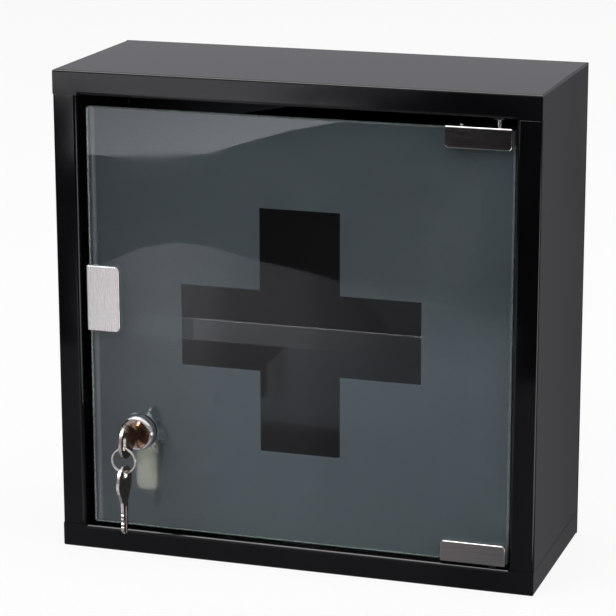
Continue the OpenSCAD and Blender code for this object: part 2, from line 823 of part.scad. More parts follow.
// Point of the helix at a given angle, and the ring of wire around it
function helix_point(a, length) = [
  spring_r * cos(a), spring_wire / 2 + (length - spring_wire) * a / (360 * spring_turns),
  spring_r * sin(a)
];
function helix_ring(a, length) = [
  for (k = [0:spring_sides - 1])
    let (t = 360 * k / spring_sides,
         out = spring_wire / 2 * cos(t),
         up = spring_wire / 2 * sin(t),
         p = helix_point(a, length))
      [p.x + out * cos(a), p.y + up, p.z + out * sin(a)]
];

// Coil spring along Y, from y = 0 to its length
module coil_spring(length) {
  rings = spring_turns * spring_steps;
  points = [for (i = [0:rings]) each helix_ring(360 * i / spring_steps, length)];
  walls = [
    for (i = [0:rings - 1], k = [0:spring_sides - 1])
      let (a = i * spring_sides + k,
           b = i * spring_sides + (k + 1) % spring_sides)
        [a, b, b + spring_sides, a + spring_sides]
  ];
  first_end = [for (k = [spring_sides - 1:-1:0]) k];
  last_end = [for (k = [0:spring_sides - 1]) rings * spring_sides + k];
  polyhedron(points, concat(walls, [first_end, last_end]));
}

module latch_spring() {
  color(zinc) translate([latch_x, head_y1 + edge_clearance, latch_z])
    coil_spring(spring_y1 - head_y1 - 2 * edge_clearance);
}

// ---------- lock ----------

// Turned shape around the lock's axis: X is the radius, Y the distance behind the bezel's face
module lock_turning() {
  translate([lock_x, lock_face_y, lock_z]) rotate([-90, 0, 0]) rotate_extrude() children();
}

module lock_housing() {
  bezel_back = bezel_h - washer_t;
  color(chrome) lock_turning() difference() {
    union() {
      plate_2d([0, 0], [bezel_d / 2, bezel_back], [0, (bezel_d - bezel_face_d) / 2, 0, 0]);
      square([barrel_d / 2, barrel_y1 - lock_face_y]);
    }
    translate([0, -1]) square([plug_d / 2 + plug_clearance, 2 * cabinet_d]);
    translate([0, -1]) square([plug_face_d / 2 + plug_clearance, 1 + plug_head_l + 0.1]);
  }
}

// Ring along the lock's axis between two depths
module lock_ring(r_in, r_out, y0, y1) {
  difference() {
    rod_y(lock_x, lock_z, r_out, y0, y1);
    rod_y(lock_x, lock_z, r_in, y0 - 1, y1 + 1);
  }
}

module lock_front_washer() {
  color(rubber_grey)
    lock_ring(barrel_d / 2, bezel_d / 2 - 0.3, glass_y0 - washer_t, glass_y0);
}

module lock_rear_washer() {
  color(rubber_grey)
    lock_ring(barrel_d / 2, lock_nut_af / 2, glass_y1, glass_y1 + washer_t);
}

module lock_nut() {
  y0 = glass_y1 + washer_t;
  color(zinc) along_y(y0, y0 + lock_nut_t) translate([lock_x, lock_z]) difference() {
    hexagon(lock_nut_af);
    circle(barrel_d / 2);
  }
}

// Passage of the key through plug and wafers
module key_passage(extra) {
  half_t = key_t / 2 + key_clearance + extra;
  half_h = blade_w / 2 + key_clearance + extra;
  block([lock_x - half_t, lock_face_y - 1, lock_z - half_h],
        [lock_x + half_t, key_slot_y1, lock_z + half_h]);
}

// Flat blanks across the plug, one for each wafer
module wafer_blanks(extra) {
  half_x = wafer_w / 2 + extra;
  half_z = wafer_h / 2 + extra;
  for (i = [0:wafer_count - 1])
    let (y = wafer_y0 + i * wafer_pitch)
      block([lock_x - half_x, y - extra, lock_z - half_z],
            [lock_x + half_x, y + wafer_t + extra, lock_z + half_z]);
}

module lock_plug() {
  tail_half = tail_side / 2;
  color(chrome) difference() {
    union() {
      rod_y(lock_x, lock_z, plug_face_d / 2, lock_face_y, lock_face_y + plug_head_l);
      rod_y(lock_x, lock_z, plug_d / 2, lock_face_y, barrel_y1);
      block([lock_x - tail_half, barrel_y1, lock_z - tail_half],
            [lock_x + tail_half, cam_y1, lock_z + tail_half]);
    }
    key_passage(0);
    wafer_blanks(wafer_gap);
    rod_y(lock_x, lock_z, cam_screw_d / 2, key_slot_y1 + 0.1, cam_y1 + 1);
  }
}

module lock_wafers() {
  color("goldenrod") difference() {
    wafer_blanks(0);
    key_passage(wafer_gap);
  }
}

module lock_cam() {
  hole = tail_side + 2 * wafer_gap;
  color(zinc) along_y(cam_y0, cam_y1) translate([lock_x, lock_z]) difference() {
    union() {
      circle(cam_w / 2);
      plate_2d([-cam_w / 2, -cam_reach], [cam_w / 2, 0], [cam_w / 4, cam_w / 4, 0, 0]);
    }
    square(hole, center = true);
  }
}

module cam_screw() {
  color(zinc) translate([lock_x, cam_y1, lock_z]) rotate([-90, 0, 0])
    pan_screw(cam_screw_d, cam_y1 - key_slot_y1 - 0.1);
}

// ---------- keys ----------

// Key outline: shoulder at the origin, blade towards +X, bow towards -X
module key_outline() {
  bow_x = bow_r - bow_l;
  slot_x = bow_rim + bow_slot_w / 2 - bow_l;
  slot_end = (bow_slot_l - bow_slot_w) / 2;
  difference() {
    union() {
      translate([bow_x, 0]) circle(bow_r);
      polygon([
        [bow_x + 0.4 * bow_r, -0.9 * bow_r], [0, -blade_w / 2 - key_shoulder],
        [0, blade_w / 2 + key_shoulder], [bow_x + 0.4 * bow_r, 0.9 * bow_r]
      ]);
      polygon([
        [-1, -blade_w / 2], [blade_l - key_tip_l, -blade_w / 2], [blade_l, -blade_w / 8],
        [blade_l, blade_w / 8], [blade_l - key_tip_l, blade_w / 2], [-1, blade_w / 2]
      ]);
    }
    for (y = [-slot_end, slot_end]) translate([slot_x, y]) circle(bow_slot_w / 2);
    translate([slot_x - bow_slot_w / 2, -slot_end]) square([bow_slot_w, 2 * slot_end]);
    for (i = [0:len(key_cuts) - 1], side = [-1, 1])
      translate([key_cut_x + i * wafer_pitch, side * blade_w / 2])
        mirror([0, side < 0 ? 1 : 0])
          polygon([[-key_cuts[i], 0.1], [0, -key_cuts[i]], [key_cuts[i], 0.1]]);
  }
}

// Key lying in the YZ plane around x = 0, with a groove along each face of its blade
module key_blank() {
  difference() {
    along_x(-key_t / 2, key_t / 2) key_outline();
    for (x = [-key_t / 2, key_t / 2])
      translate([x, blade_l / 2 + key_stop, 0])
        cube([key_groove_d * 2, blade_l, blade_w / 4], center = true);
  }
}

module inserted_key() {
  color(steel_bright) translate([lock_x, lock_face_y - key_stop, lock_z]) key_blank();
}

module spare_key() {
  color(steel_bright) translate([lock_x, ring_y, spare_top_z - bow_l])
    rotate([-90, 0, 0]) key_blank();
}

module key_ring() {
  color(chrome) translate([lock_x, ring_y, ring_z]) rotate([-90, 0, 0])
    rotate_extrude() translate([ring_r, 0]) circle(ring_wire / 2);
}

side_panel_left();
side_panel_right();
back_panel();
top_cover();
bottom_cover();
shelf();
shelf_rail_left();
shelf_rail_right();
shelf_screws();
shelf_nuts();
upper_hinge_bush();
lower_hinge_bush();
latch_bracket();
latch_body();
latch_rear_cap();
latch_spring();
latch_screws();
latch_nuts();
latch_plunger();
latch_magnet();
door_glass();
upper_hinge_clamp();
lower_hinge_clamp();
upper_hinge_pin();
lower_hinge_pin();
clamp_pads();
clamp_set_screws();
clamp_rivet();
edge_handle();
handle_liner();
handle_grub_screw();
lock_housing();
lock_front_washer();
lock_rear_washer();
lock_nut();
lock_plug();
lock_wafers();
lock_cam();
cam_screw();
inserted_key();
key_ring();
spare_key();
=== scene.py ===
import json
from math import cos, pi, radians, sin

import bmesh
import bpy
from mathutils import Matrix, Vector


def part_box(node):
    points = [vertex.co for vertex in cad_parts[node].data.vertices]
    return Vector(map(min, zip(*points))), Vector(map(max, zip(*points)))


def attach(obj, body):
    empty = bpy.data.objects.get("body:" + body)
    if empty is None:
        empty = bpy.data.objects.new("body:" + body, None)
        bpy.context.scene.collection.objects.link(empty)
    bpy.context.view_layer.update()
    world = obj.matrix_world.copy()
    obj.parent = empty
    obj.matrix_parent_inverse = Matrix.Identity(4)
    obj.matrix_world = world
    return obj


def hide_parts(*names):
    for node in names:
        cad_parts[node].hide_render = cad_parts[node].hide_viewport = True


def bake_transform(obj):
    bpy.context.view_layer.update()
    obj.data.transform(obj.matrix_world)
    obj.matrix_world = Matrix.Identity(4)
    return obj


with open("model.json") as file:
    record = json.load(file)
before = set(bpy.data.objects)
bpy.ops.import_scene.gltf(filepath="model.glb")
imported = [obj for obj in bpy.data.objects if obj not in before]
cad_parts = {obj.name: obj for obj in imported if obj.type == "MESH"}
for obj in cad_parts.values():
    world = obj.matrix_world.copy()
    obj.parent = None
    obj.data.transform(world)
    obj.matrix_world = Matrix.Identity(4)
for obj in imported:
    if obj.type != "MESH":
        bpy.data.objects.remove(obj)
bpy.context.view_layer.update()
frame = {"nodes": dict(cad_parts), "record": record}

MM = 0.001
NODES = frame["nodes"]
BODIES = frame["record"]["behaviour"]["bodies"]
# Points nearer to each other than this, in metres, are one point
SAME_POINT = 2e-6
# Faces that meet at a wider turn than this make a sharp edge
SHARP_EDGE = radians(35)
# A face looks to a side when the cosine between them is more than this
LOOKS_TO = 0.98
# The glass's corners, eased edges and places across and up, in mm
GLASS_CORNER, ARRIS = 1.5, 0.6
CROSS_AT = (4, 148)
LOCK_AT, LOCK_HOLE_RADIUS = (-98.5, 78.5), 9.25
# The glass's finishes, in the order of its material slots
GLASS_FINISHES = ("clear", "frost", "edge", "cross", "band", "band_side", "lower_edge")


def body_of(node):
    """The body that a node belongs to"""
    return next(body for body, nodes in BODIES.items() if node in nodes)


def mm(*values):
    return Vector(values) * MM


def placed(name, data):
    """An object in the scene that holds a mesh, a camera or a lamp"""
    thing = bpy.data.objects.new(name, data)
    bpy.context.scene.collection.objects.link(thing)
    return thing


def spaced(sizes):
    """Sizes by the labels of their sockets, which have spaces where names can't"""
    return {label.replace("_", " "): value for label, value in sizes.items()}


# ---------- camera ----------

def set_camera():
    """Camera at the height and side from which the cabinet is looked at"""
    azimuth, elevation, roll = radians(18.16), radians(14.52), radians(-0.13)
    aim, distance = mm(10.53, -60, 165.44), 1.561
    back = Vector((sin(azimuth) * cos(elevation), -cos(azimuth) * cos(elevation), sin(elevation)))
    data = bpy.data.cameras.new("camera")
    data.lens, data.sensor_width, data.sensor_fit = 154.4, 36, "HORIZONTAL"
    data.clip_start, data.clip_end = 0.05, 60
    camera = placed("camera", data)
    turn = (-back).to_track_quat("-Z", "Y").to_matrix() @ Matrix.Rotation(roll, 3, "Z")
    camera.matrix_world = Matrix.Translation(aim + back * distance) @ turn.to_4x4()
    bpy.context.scene.camera = camera


# ---------- node trees ----------

class Tree:
    """A node tree, and short calls that put nodes in it"""

    def __init__(self, tree):
        self.tree = tree

    def add(self, kind, inputs=None, **settings):
        """A node with its settings, and with numbers or other nodes' outputs as its inputs"""
        node = self.tree.nodes.new(kind)
        for setting, value in settings.items():
            setattr(node, setting, value)
        for label, value in (inputs or {}).items():
            for part in value if isinstance(value, list) else [value]:
                if isinstance(part, bpy.types.NodeSocket):
                    self.tree.links.new(part, node.inputs[label])
                else:
                    node.inputs[label].default_value = part
        return node

    def socket(self, label, way, kind):
        return self.tree.interface.new_socket(label, in_out=way, socket_type="NodeSocket" + kind)

    def open_ends(self):
        """What the group is given, and what it gives"""
        self.given = self.tree.nodes.new("NodeGroupInput").outputs
        self.results = self.tree.nodes.new("NodeGroupOutput").inputs

    def math(self, operation, first, second=0.0):
        return self.add("ShaderNodeMath", {0: first, 1: second}, operation=operation).outputs[0]

    def times(self, first, second):
        return self.math("MULTIPLY", first, second)

    def facing(self, vector, direction):
        """How far a vector points along a direction"""
        return self.add("ShaderNodeVectorMath", {0: vector, 1: direction},
                        operation="DOT_PRODUCT").outputs["Value"]

    def ranged(self, value, low, high, out_low, out_high):
        """Stretches a value from one range to another, with its ends held"""
        return self.add("ShaderNodeMapRange", {
            "Value": value, "From Min": low, "From Max": high, "To Min": out_low,
            "To Max": out_high}).outputs["Result"]

    def part(self, vector, axis):
        return self.add("ShaderNodeSeparateXYZ", {0: vector}).outputs[axis]

    def looked_at(self):
        """1 where something is seen, straight, mirrored or through glass, and 0 where it only
        lights other things"""
        path = self.add("ShaderNodeLightPath").outputs
        mirrored = self.math("MAXIMUM", path["Is Camera Ray"], path["Is Glossy Ray"])
        return self.math("MAXIMUM", mirrored, path["Is Transmission Ray"])


class Effect(Tree):
    """A shader node group laid on a vector. It has named sizes and gives two levels"""

    def __init__(self, name, sizes, outputs):
        super().__init__(bpy.data.node_groups.new(name, "ShaderNodeTree"))
        self.socket("Vector", "INPUT", "Vector")
        for label, value in sizes.items():
            kind = "Vector" if isinstance(value, tuple) else "Float"
            self.socket(label, "INPUT", kind).default_value = value
        for label in outputs:
            self.socket(label, "OUTPUT", "Float")
        self.open_ends()

    def noise(self, vector, scale, detail, distortion=0.0):
        return self.add("ShaderNodeTexNoise", {
            "Vector": vector, "Scale": scale, "Detail": detail,
            "Distortion": distortion}).outputs["Fac"]

    def close(self, *values):
        for value, result in zip(values, self.results):
            self.tree.links.new(value, result)
        return self.tree


def make_paint_skin():
    """Orange peel of sprayed paint, and the broad patches where it cured more or less glossy"""
    skin = Effect("paint_skin", {"Peel Scale": 420.0, "Patch Scale": 14.0}, ("Patch", "Height"))
    place = skin.given["Vector"]
    peel = skin.noise(place, skin.given["Peel Scale"], 1.5)
    patch = skin.noise(place, skin.given["Patch Scale"], 3.0)
    return skin.close(skin.ranged(patch, 0.35, 0.65, 0, 1), peel)


def make_brushed_grain():
    """Fine lines of brushed metal: Stretch is small along the lines and large across them"""
    grain = Effect("brushed_grain", {"Stretch": (40.0, 40.0, 2500.0)}, ("Streak", "Height"))
    stretched = grain.add("ShaderNodeVectorMath", {
        0: grain.given["Vector"], 1: grain.given["Stretch"]}, operation="MULTIPLY")
    lines = grain.noise(stretched.outputs["Vector"], 1.0, 2.0)
    return grain.close(grain.ranged(lines, 0.3, 0.7, 0, 1), lines)


def make_handling_marks():
    """Soft smudges left by hands, and fine specks"""
    marks = Effect("handling_marks", {"Smudge Scale": 45.0, "Speck Scale": 900.0},
                   ("Smudge", "Speck"))
    place = marks.given["Vector"]
    smudge = marks.noise(place, marks.given["Smudge Scale"], 3.0, 0.6)
    speck = marks.noise(place, marks.given["Speck Scale"], 1.0)
    return marks.close(marks.ranged(smudge, 0.45, 0.7, 0, 1),
                       marks.ranged(speck, 0.35, 0.65, 0, 1))


# ---------- materials ----------

class Finish(Tree):
    """A material with one Principled shader, and short calls for what is laid over it"""

    def __init__(self, name, colour, roughness, metallic=0.0, **plain):
        self.material = bpy.data.materials.new(name)
        self.material.use_nodes = True
        super().__init__(self.material.node_tree)
        self.shader = self.tree.nodes["Principled BSDF"]
        self.place = self.add("ShaderNodeTexCoord").outputs["Object"]
        for label, value in {"Base Color": (*colour, 1), "Roughness": roughness,
                             "Metallic": metallic, **spaced(plain)}.items():
            self.shader.inputs[label].default_value = value

    def lay(self, label, value):
        self.tree.links.new(value, self.shader.inputs[label])

    def effect(self, group, **values):
        """A shader group laid on the piece's own coordinates"""
        return self.add("ShaderNodeGroup", {"Vector": self.place, **spaced(values)},
                        node_tree=group).outputs

    def along(self, axis, first, last, low=0.0, high=1.0):
        """A value that goes from low to high between two places on an axis, in metres"""
        return self.ranged(self.part(self.place, axis), first, last, low, high)

    def roughness(self, value, low, high):
        self.lay("Roughness", self.ranged(value, 0, 1, low, high))

    def tint(self, value, first, second):
        """Base colour between two colours. The mix node's colour sockets are 6 and 7"""
        mix = self.add("ShaderNodeMix", data_type="RGBA",
                       inputs={0: value, 6: (*first, 1), 7: (*second, 1)})
        self.lay("Base Color", mix.outputs[2])

    def relief(self, height, depth):
        """Bump of a given depth in metres"""
        self.lay("Normal", self.add("ShaderNodeBump", {
            "Strength": 1.0, "Distance": depth, "Height": height}).outputs["Normal"])

    def blend(self, share, first, second):
        """The surface goes from the first shader to the second"""
        mix = self.add("ShaderNodeMixShader", {"Fac": share, 1: first, 2: second})
        self.tree.links.new(mix.outputs["Shader"],
                            self.tree.nodes["Material Output"].inputs["Surface"])

    def let_lamps_through(self, share):
        """Lets a share of the lamps' light through, so that what is behind the glass is lit"""
        clear = self.add("ShaderNodeBsdfTransparent", {"Color": (share, share, share, 1)})
        self.blend(self.add("ShaderNodeLightPath").outputs["Is Shadow Ray"],
                   self.shader.outputs["BSDF"], clear.outputs["BSDF"])


def paint_finishes(skin):
    """Gloss black paint, which is duller near the top of the back panel"""
    made = {}
    for name, title in (("paint", "gloss_black_paint"), ("back", "inner_black_paint")):
        paint = Finish(title, (0.002, 0.002, 0.0022), 0.08, Specular_IOR_Level=0.45)
        peel = paint.effect(skin)
        paint.tint(peel["Patch"], (0.0014, 0.0014, 0.0017), (0.0030, 0.0029, 0.0034))
        if name == "back":
            paint.roughness(paint.along("Z", 0.205, 0.24), 0.07, 0.42)
        else:
            paint.roughness(peel["Patch"], 0.05, 0.10)
        paint.relief(peel["Height"], 3e-6)
        made[name] = paint
    return made


def glass(title, colour, roughness, through, lamps, **plain):
    """A glass that lets a share of the lamps' light through"""
    made = Finish(title, colour, roughness, IOR=1.5, Transmission_Weight=through, **plain)
    made.let_lamps_through(lamps)
    return made


def clear_finishes(skin, marks):
    """The glass's front, and the clear cross on its back"""
    tint = (0.93, 0.97, 0.96)
    clear = glass("clear_glass", tint, 0.0, 1.0, 0.85)
    clear.roughness(clear.effect(marks, Smudge_Scale=16.0)["Smudge"], 0.0, 0.05)
    clear.relief(clear.effect(skin, Peel_Scale=7.0, Patch_Scale=30.0)["Height"], 3e-5)
    cross = glass("clear_cross_glass", tint, 0.0, 1.0, 0.85, Specular_Tint=(0.2, 0.2, 0.2, 1))
    cross.roughness(cross.effect(marks, Smudge_Scale=22.0)["Smudge"], 0.0, 0.03)
    return {"clear": clear, "cross": cross}


def ground_finishes(marks):
    """The sandblasted back of the glass, with painted floor light low down, and the lighter bands
    beside its left edge, a painted highlight
    """
    made = {}
    for name, title, colour, through, shine in (
            ("frost", "sandblasted_glass", (0.72, 0.87, 0.96), 0.936, (0.66, 0.86, 1.0, 1)),
            # The bands beside the left edge are lighter than the frost: a painted highlight
            ("band", "ground_band", (0.80, 0.86, 0.93), 0.87, (0.8, 0.88, 1.0, 1)),
            ("band_side", "ground_band_side", (0.80, 0.86, 0.93), 0.945, (0.8, 0.88, 1.0, 1))):
        ground = made[name] = glass(title, colour, 0.5, through, 0.6, Specular_Tint=shine)
        blast = ground.effect(marks, Smudge_Scale=60.0, Speck_Scale=1400.0)
        if name == "frost":
            # Painted light: the frost's colour is lighter in its lower part, where the pale floor
            # lights it, and darker up high and towards its left edge
            painted_floor_light = ground.times(ground.along("X", -0.12, -0.05),
                                 ground.along("Z", 0.185, 0.135, 0.28, 1))
            ground.tint(painted_floor_light, (0.31, 0.37, 0.41), (0.69, 0.83, 0.92))
        else:
            ground.tint(blast["Smudge"], (0.76, 0.80, 0.90), (0.84, 0.90, 0.97))
        ground.roughness(blast["Smudge"], 0.46, 0.56)
        ground.relief(blast["Speck"], 6e-5)
    return made


def edge_finishes(grain):
    """The glass's polished edges, and the lower one, darkened as painted shade"""
    made = {}
    for name, colour, shine, through in (("edge", (0.28, 0.35, 0.33), 1.0, 0.9),
                                         # The lower edge is darker, less shiny and less clear:
                                         # painted shade along the glass's foot
                                         ("lower_edge", (0.07, 0.10, 0.095), 0.15, 0.2)):
        edge = made[name] = glass("polished_glass_" + name, colour, 0.25, through, 0.7,
                                  Specular_Tint=(shine, shine, shine, 1))
        edge.roughness(edge.effect(grain, Stretch=(300.0, 4000.0, 300.0))["Streak"], 0.18, 0.34)
    return made


# Metals, nylon and rubber. For each: colour, roughness and metallic; sizes of the grain, or of
# the smudges and the specks; colours and roughness at both ends of the level; depth of the
# relief in metres
PLAIN_FINISHES = (
    ("polished", "polished_steel", (0.66, 0.62, 0.60), 0.07, 1.0, (60.0, 900.0, 2600.0),
     ((0.62, 0.57, 0.55), (0.72, 0.68, 0.66)), (0.05, 0.10), 8e-7),
    ("brushed", "brushed_steel", (0.93, 0.89, 0.87), 0.28, 0.72, (2200.0, 2200.0, 35.0),
     ((0.92, 0.88, 0.865), (0.945, 0.91, 0.89)), (0.26, 0.29), 6e-7),
    ("pin", "ground_pin_steel", (0.88, 0.87, 0.86), 0.12, 1.0, (60.0, 60.0, 5000.0),
     None, (0.08, 0.2), 4e-6),
    ("zinc", "zinc_plate", (0.50, 0.50, 0.51), 0.3, 1.0, (160.0, 900.0),
     ((0.40, 0.40, 0.42), (0.58, 0.57, 0.55)), (0.22, 0.42), 1e-5),
    ("cam", "yellow_zinc_plate", (0.72, 0.60, 0.50), 0.45, 0.35, (95.0, 900.0),
     ((0.90, 0.74, 0.56), (0.62, 0.62, 0.34)), (0.38, 0.52), 1e-5),
    ("spring", "coiled_spring_wire", (0.45, 0.44, 0.43), 0.3, 1.0, (300.0, 900.0),
     None, (0.24, 0.4), 1e-5),
    ("ring", "flat_ring_wire", (0.80, 0.77, 0.73), 0.14, 1.0, (260.0, 900.0),
     None, (0.1, 0.26), 6e-6),
    ("magnet", "magnet_nickel", (0.60, 0.58, 0.54), 0.15, 1.0, (250.0, 900.0),
     None, (0.1, 0.28), 6e-6),
    ("nylon", "black_nylon", (0.012, 0.012, 0.013), 0.45, 0.0, (120.0, 2600.0),
     ((0.009, 0.009, 0.010), (0.018, 0.018, 0.019)), (0.38, 0.55), 3e-5),
    ("rubber", "grey_rubber", (0.05, 0.05, 0.052), 0.7, 0.0, (90.0, 2200.0),
     ((0.04, 0.04, 0.042), (0.07, 0.07, 0.072)), (0.62, 0.8), 4e-5),
    ("chrome", "lock_chrome", (0.82, 0.81, 0.81), 0.04, 1.0, (140.0, 900.0),
     ((0.86, 0.85, 0.85), (0.74, 0.71, 0.69)), (0.02, 0.07), None),
    ("plug", "plug_bronze", (0.22, 0.14, 0.09), 0.14, 1.0, (260.0, 900.0),
     ((0.30, 0.19, 0.12), (0.12, 0.07, 0.045)), (0.08, 0.22), 8e-6),
    ("face", "lapped_bronze", (0.26, 0.17, 0.12), 0.1, 1.0, (180.0, 900.0),
     ((0.44, 0.33, 0.26), (0.14, 0.092, 0.065)), (0.06, 0.16), None),
    ("brass", "wafer_brass", (0.72, 0.50, 0.20), 0.25, 1.0, (220.0, 900.0),
     ((0.74, 0.52, 0.22), (0.55, 0.36, 0.14)), (0.2, 0.4), None),
    ("key", "key_nickel", (0.70, 0.66, 0.63), 0.14, 1.0, (170.0, 1800.0),
     ((0.86, 0.82, 0.78), (0.40, 0.31, 0.25)), (0.08, 0.22), 1.2e-5),
    # The keys' broad faces: darker and browner than the rims, a painted dark reflection
    ("key_face", "worn_key_nickel", (0.30, 0.24, 0.20), 0.2, 1.0, (190.0, 1800.0),
     ((0.36, 0.29, 0.24), (0.15, 0.115, 0.09)), (0.12, 0.3), 1.2e-5))


def make_finishes():
    """Every finish on the cabinet, by its name"""
    skin, grain, marks = make_paint_skin(), make_brushed_grain(), make_handling_marks()
    made = {**paint_finishes(skin), **clear_finishes(skin, marks), **ground_finishes(marks),
            **edge_finishes(grain)}
    for name, title, colour, roughness, metallic, sizes, tints, shine, depth in PLAIN_FINISHES:
        finish = made[name] = Finish(title, colour, roughness, metallic)
        if len(sizes) == 3:
            level, height = finish.effect(grain, Stretch=sizes)
        else:
            level, height = finish.effect(marks, Smudge_Scale=sizes[0], Speck_Scale=sizes[1])
        if tints:
            finish.tint(level, *tints)
        finish.roughness(level, *shine)
        if depth:
            finish.relief(height, depth)
    return {name: finish.material for name, finish in made.items()}


# ---------- pieces cut from the solids ----------

def skin_of(node):
    """A node's solids as closed skins"""
    shape = bmesh.new()
    shape.from_mesh(NODES[node].data)
    bmesh.ops.remove_doubles(shape, verts=shape.verts, dist=SAME_POINT)
    return shape


def smooth_skin_of(node):
    """A node's solids as closed skins whose flat faces are whole"""
    shape = skin_of(node)
    bmesh.ops.dissolve_limit(shape, angle_limit=radians(0.4), verts=shape.verts, edges=shape.edges)
    for face in shape.faces:
        face.smooth = True
    return shape


def mesh_from(shape, name, crease=32):
    """A mesh whose edges stay sharp where its faces turn by more than the crease angle"""
    mesh = bpy.data.meshes.new(name)
    shape.to_mesh(mesh)
    shape.free()
    for layer in ("custom_normal", "sharp_face", "sharp_edge"):
        if layer in mesh.attributes:
            mesh.attributes.remove(mesh.attributes[layer])
    mesh.shade_smooth()
    mesh.set_sharp_from_angle(angle=radians(crease))
    return mesh


def dressed(piece, node, slot):
    """A piece takes a node's place and its body. The slot is not used"""
    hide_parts(node)
    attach(piece, body_of(node))


def rounded_piece(node, name, mesh, finish, slot, width, segments, **limits):
    """A piece in a node's place, with its edges rounded and its flat faces kept flat"""
    piece = placed(name, mesh)
    mesh.materials.append(finish)
    rounding = piece.modifiers.new("rounded edges", "BEVEL")
    rounding.width, rounding.segments = width * MM, segments
    for limit, value in limits.items():
        setattr(rounding, limit, value)
    flatten = piece.modifiers.new("flat faces stay flat", "WEIGHTED_NORMAL")
    flatten.mode, flatten.weight, flatten.keep_sharp = "FACE_AREA", 100, True
    dressed(piece, node, slot)
    return piece


def eased_piece(node, name, finish, ease, slot, segments=2):
    """A node's solid with its sharp edges eased, as they leave the tool"""
    mesh = mesh_from(smooth_skin_of(node), name)
    return rounded_piece(node, name, mesh, finish, slot, ease, segments, limit_method="ANGLE",
                         angle_limit=SHARP_EDGE, use_clamp_overlap=True)


def make_sheet_metal(finishes):
    """Painted panels, shelf, rails and latch bracket"""
    for node, name in (("side_panel_left", "left_side_sheet"),
                       ("side_panel_right", "right_side_sheet"),
                       ("back_panel", "back_sheet"), ("top_cover", "top_tray"),
                       ("bottom_cover", "bottom_tray"), ("shelf", "folded_shelf"),
                       ("shelf_rail_left", "left_shelf_angle"),
                       ("shelf_rail_right", "right_shelf_angle"),
                       ("latch_bracket", "latch_plate")):
        finish = "back" if node == "back_panel" else "paint"
        eased_piece(node, name, finishes[finish], 0.18, "black_steel")


def rim_rounded_piece(node, name, finish, slot, rim):
    """A node's solid with every rim on its outer skin rounded by hand, and only its holes
    and inner edges left nearly sharp"""
    shape, flatness, nearly_sharp = smooth_skin_of(node), 2e-5, 0.1
    shape.normal_update()

    def on_the_skin(face):
        return all((v.co - face.verts[0].co).dot(face.normal) < flatness for v in shape.verts)

    weight = shape.edges.layers.float.new("bevel_weight_edge")
    outer = {face for face in shape.faces if on_the_skin(face)}
    for edge in shape.edges:
        if len(edge.link_faces) == 2 and edge.calc_face_angle(0) > SHARP_EDGE:
            edge[weight] = 1.0 if outer.issuperset(edge.link_faces) else nearly_sharp / rim
    rounded_piece(node, name, mesh_from(shape, name), finish, slot, rim, segments=4,
                  limit_method="WEIGHT", use_clamp_overlap=False)


def make_door_metal(finishes):
    """Clamps, handle, pins and rivet"""
    polished, brushed = finishes["polished"], finishes["brushed"]
    rim_rounded_piece("upper_hinge_clamp", "upper_clamp", polished, "polished_steel", 0.7)
    rim_rounded_piece("lower_hinge_clamp", "lower_clamp", polished, "polished_steel", 0.7)
    rim_rounded_piece("edge_handle", "pull_plate", brushed, "brushed_steel", 0.6)
    for node, name, finish, ease, slot in (
            ("upper_hinge_pin", "upper_pin", "pin", 0.2, "pin_steel"),
            ("lower_hinge_pin", "lower_pin", "pin", 0.2, "pin_steel"),
            ("clamp_rivet", "web_rivet", "zinc", 0.1, "zinc_steel"),
            ("clamp_pads", "clamp_leaves", "rubber", 0.1, "grey_rubber"),
            ("handle_liner", "pull_liner", "rubber", 0.1, "grey_rubber")):
        eased_piece(node, name, finishes[finish], ease, slot, segments=3)


def make_small_parts(finishes):
    """Bushes, latch parts and the lock's cam"""
    for node, name, finish, ease, slot in (
            ("upper_hinge_bush", "upper_bush", "nylon", 0.15, "black_nylon"),
            ("lower_hinge_bush", "lower_bush", "nylon", 0.15, "black_nylon"),
            ("latch_body", "latch_housing", "nylon", 0.3, "black_nylon"),
            ("latch_rear_cap", "latch_cap", "nylon", 0.2, "black_nylon"),
            ("latch_plunger", "plunger", "nylon", 0.2, "black_nylon"),
            ("latch_magnet", "magnet_disc", "magnet", 0.15, "magnet_nickel"),
            ("lock_cam", "cam_arm", "cam", 0.15, "zinc_steel")):
        eased_piece(node, name, finishes[finish], ease, slot)


def refinish(piece, finish, sides):
    """The flat faces on the given sides are darker than the rims: lapped on the lock's face, and
    painted with a dark reflection on the keys' broad faces
    """
    piece.data.materials.append(finish)
    for face in piece.data.polygons:
        if any(face.normal.dot(side) > LOOKS_TO for side in sides):
            face.material_index = 1


def make_lock_and_keys(finishes):
    """Cam lock and both keys"""
    for node, name, finish, ease, slot in (
            ("lock_housing", "lock_bezel", "chrome", 0.25, "lock_chrome"),
            ("lock_front_washer", "front_washer", "rubber", 0.08, "grey_rubber"),
            ("lock_rear_washer", "rear_washer", "rubber", 0.08, "grey_rubber"),
            ("lock_plug", "key_plug", "plug", 0.15, "lock_chrome"),
            ("lock_wafers", "wafer_stack", "brass", 0.08, "brass"),
            ("inserted_key", "key_in_lock", "key", 0.2, "key_nickel"),
            ("spare_key", "hanging_key", "key", 0.2, "key_nickel")):
        piece = eased_piece(node, name, finishes[finish], ease, slot)
        if name == "lock_bezel":
            refinish(piece, finishes["face"], [Vector((0, -1, 0))])
        elif finish == "key":
            # The keys' broad faces take the darker finish, a painted reflection of dark
            # surroundings
            broad = max(piece.data.polygons, key=lambda face: face.area).normal.copy()
            refinish(piece, finishes["key_face"], [broad, -broad])


# ---------- pieces grown from sizes ----------

def islands_of(shape):
    """Each set of points that edges join"""
    left = set(shape.verts)
    while left:
        island, waiting = set(), [left.pop()]
        while waiting:
            point = waiting.pop()
            island.add(point)
            beside = {edge.other_vert(point) for edge in point.link_edges} & left
            left -= beside
            waiting.extend(beside)
        yield island


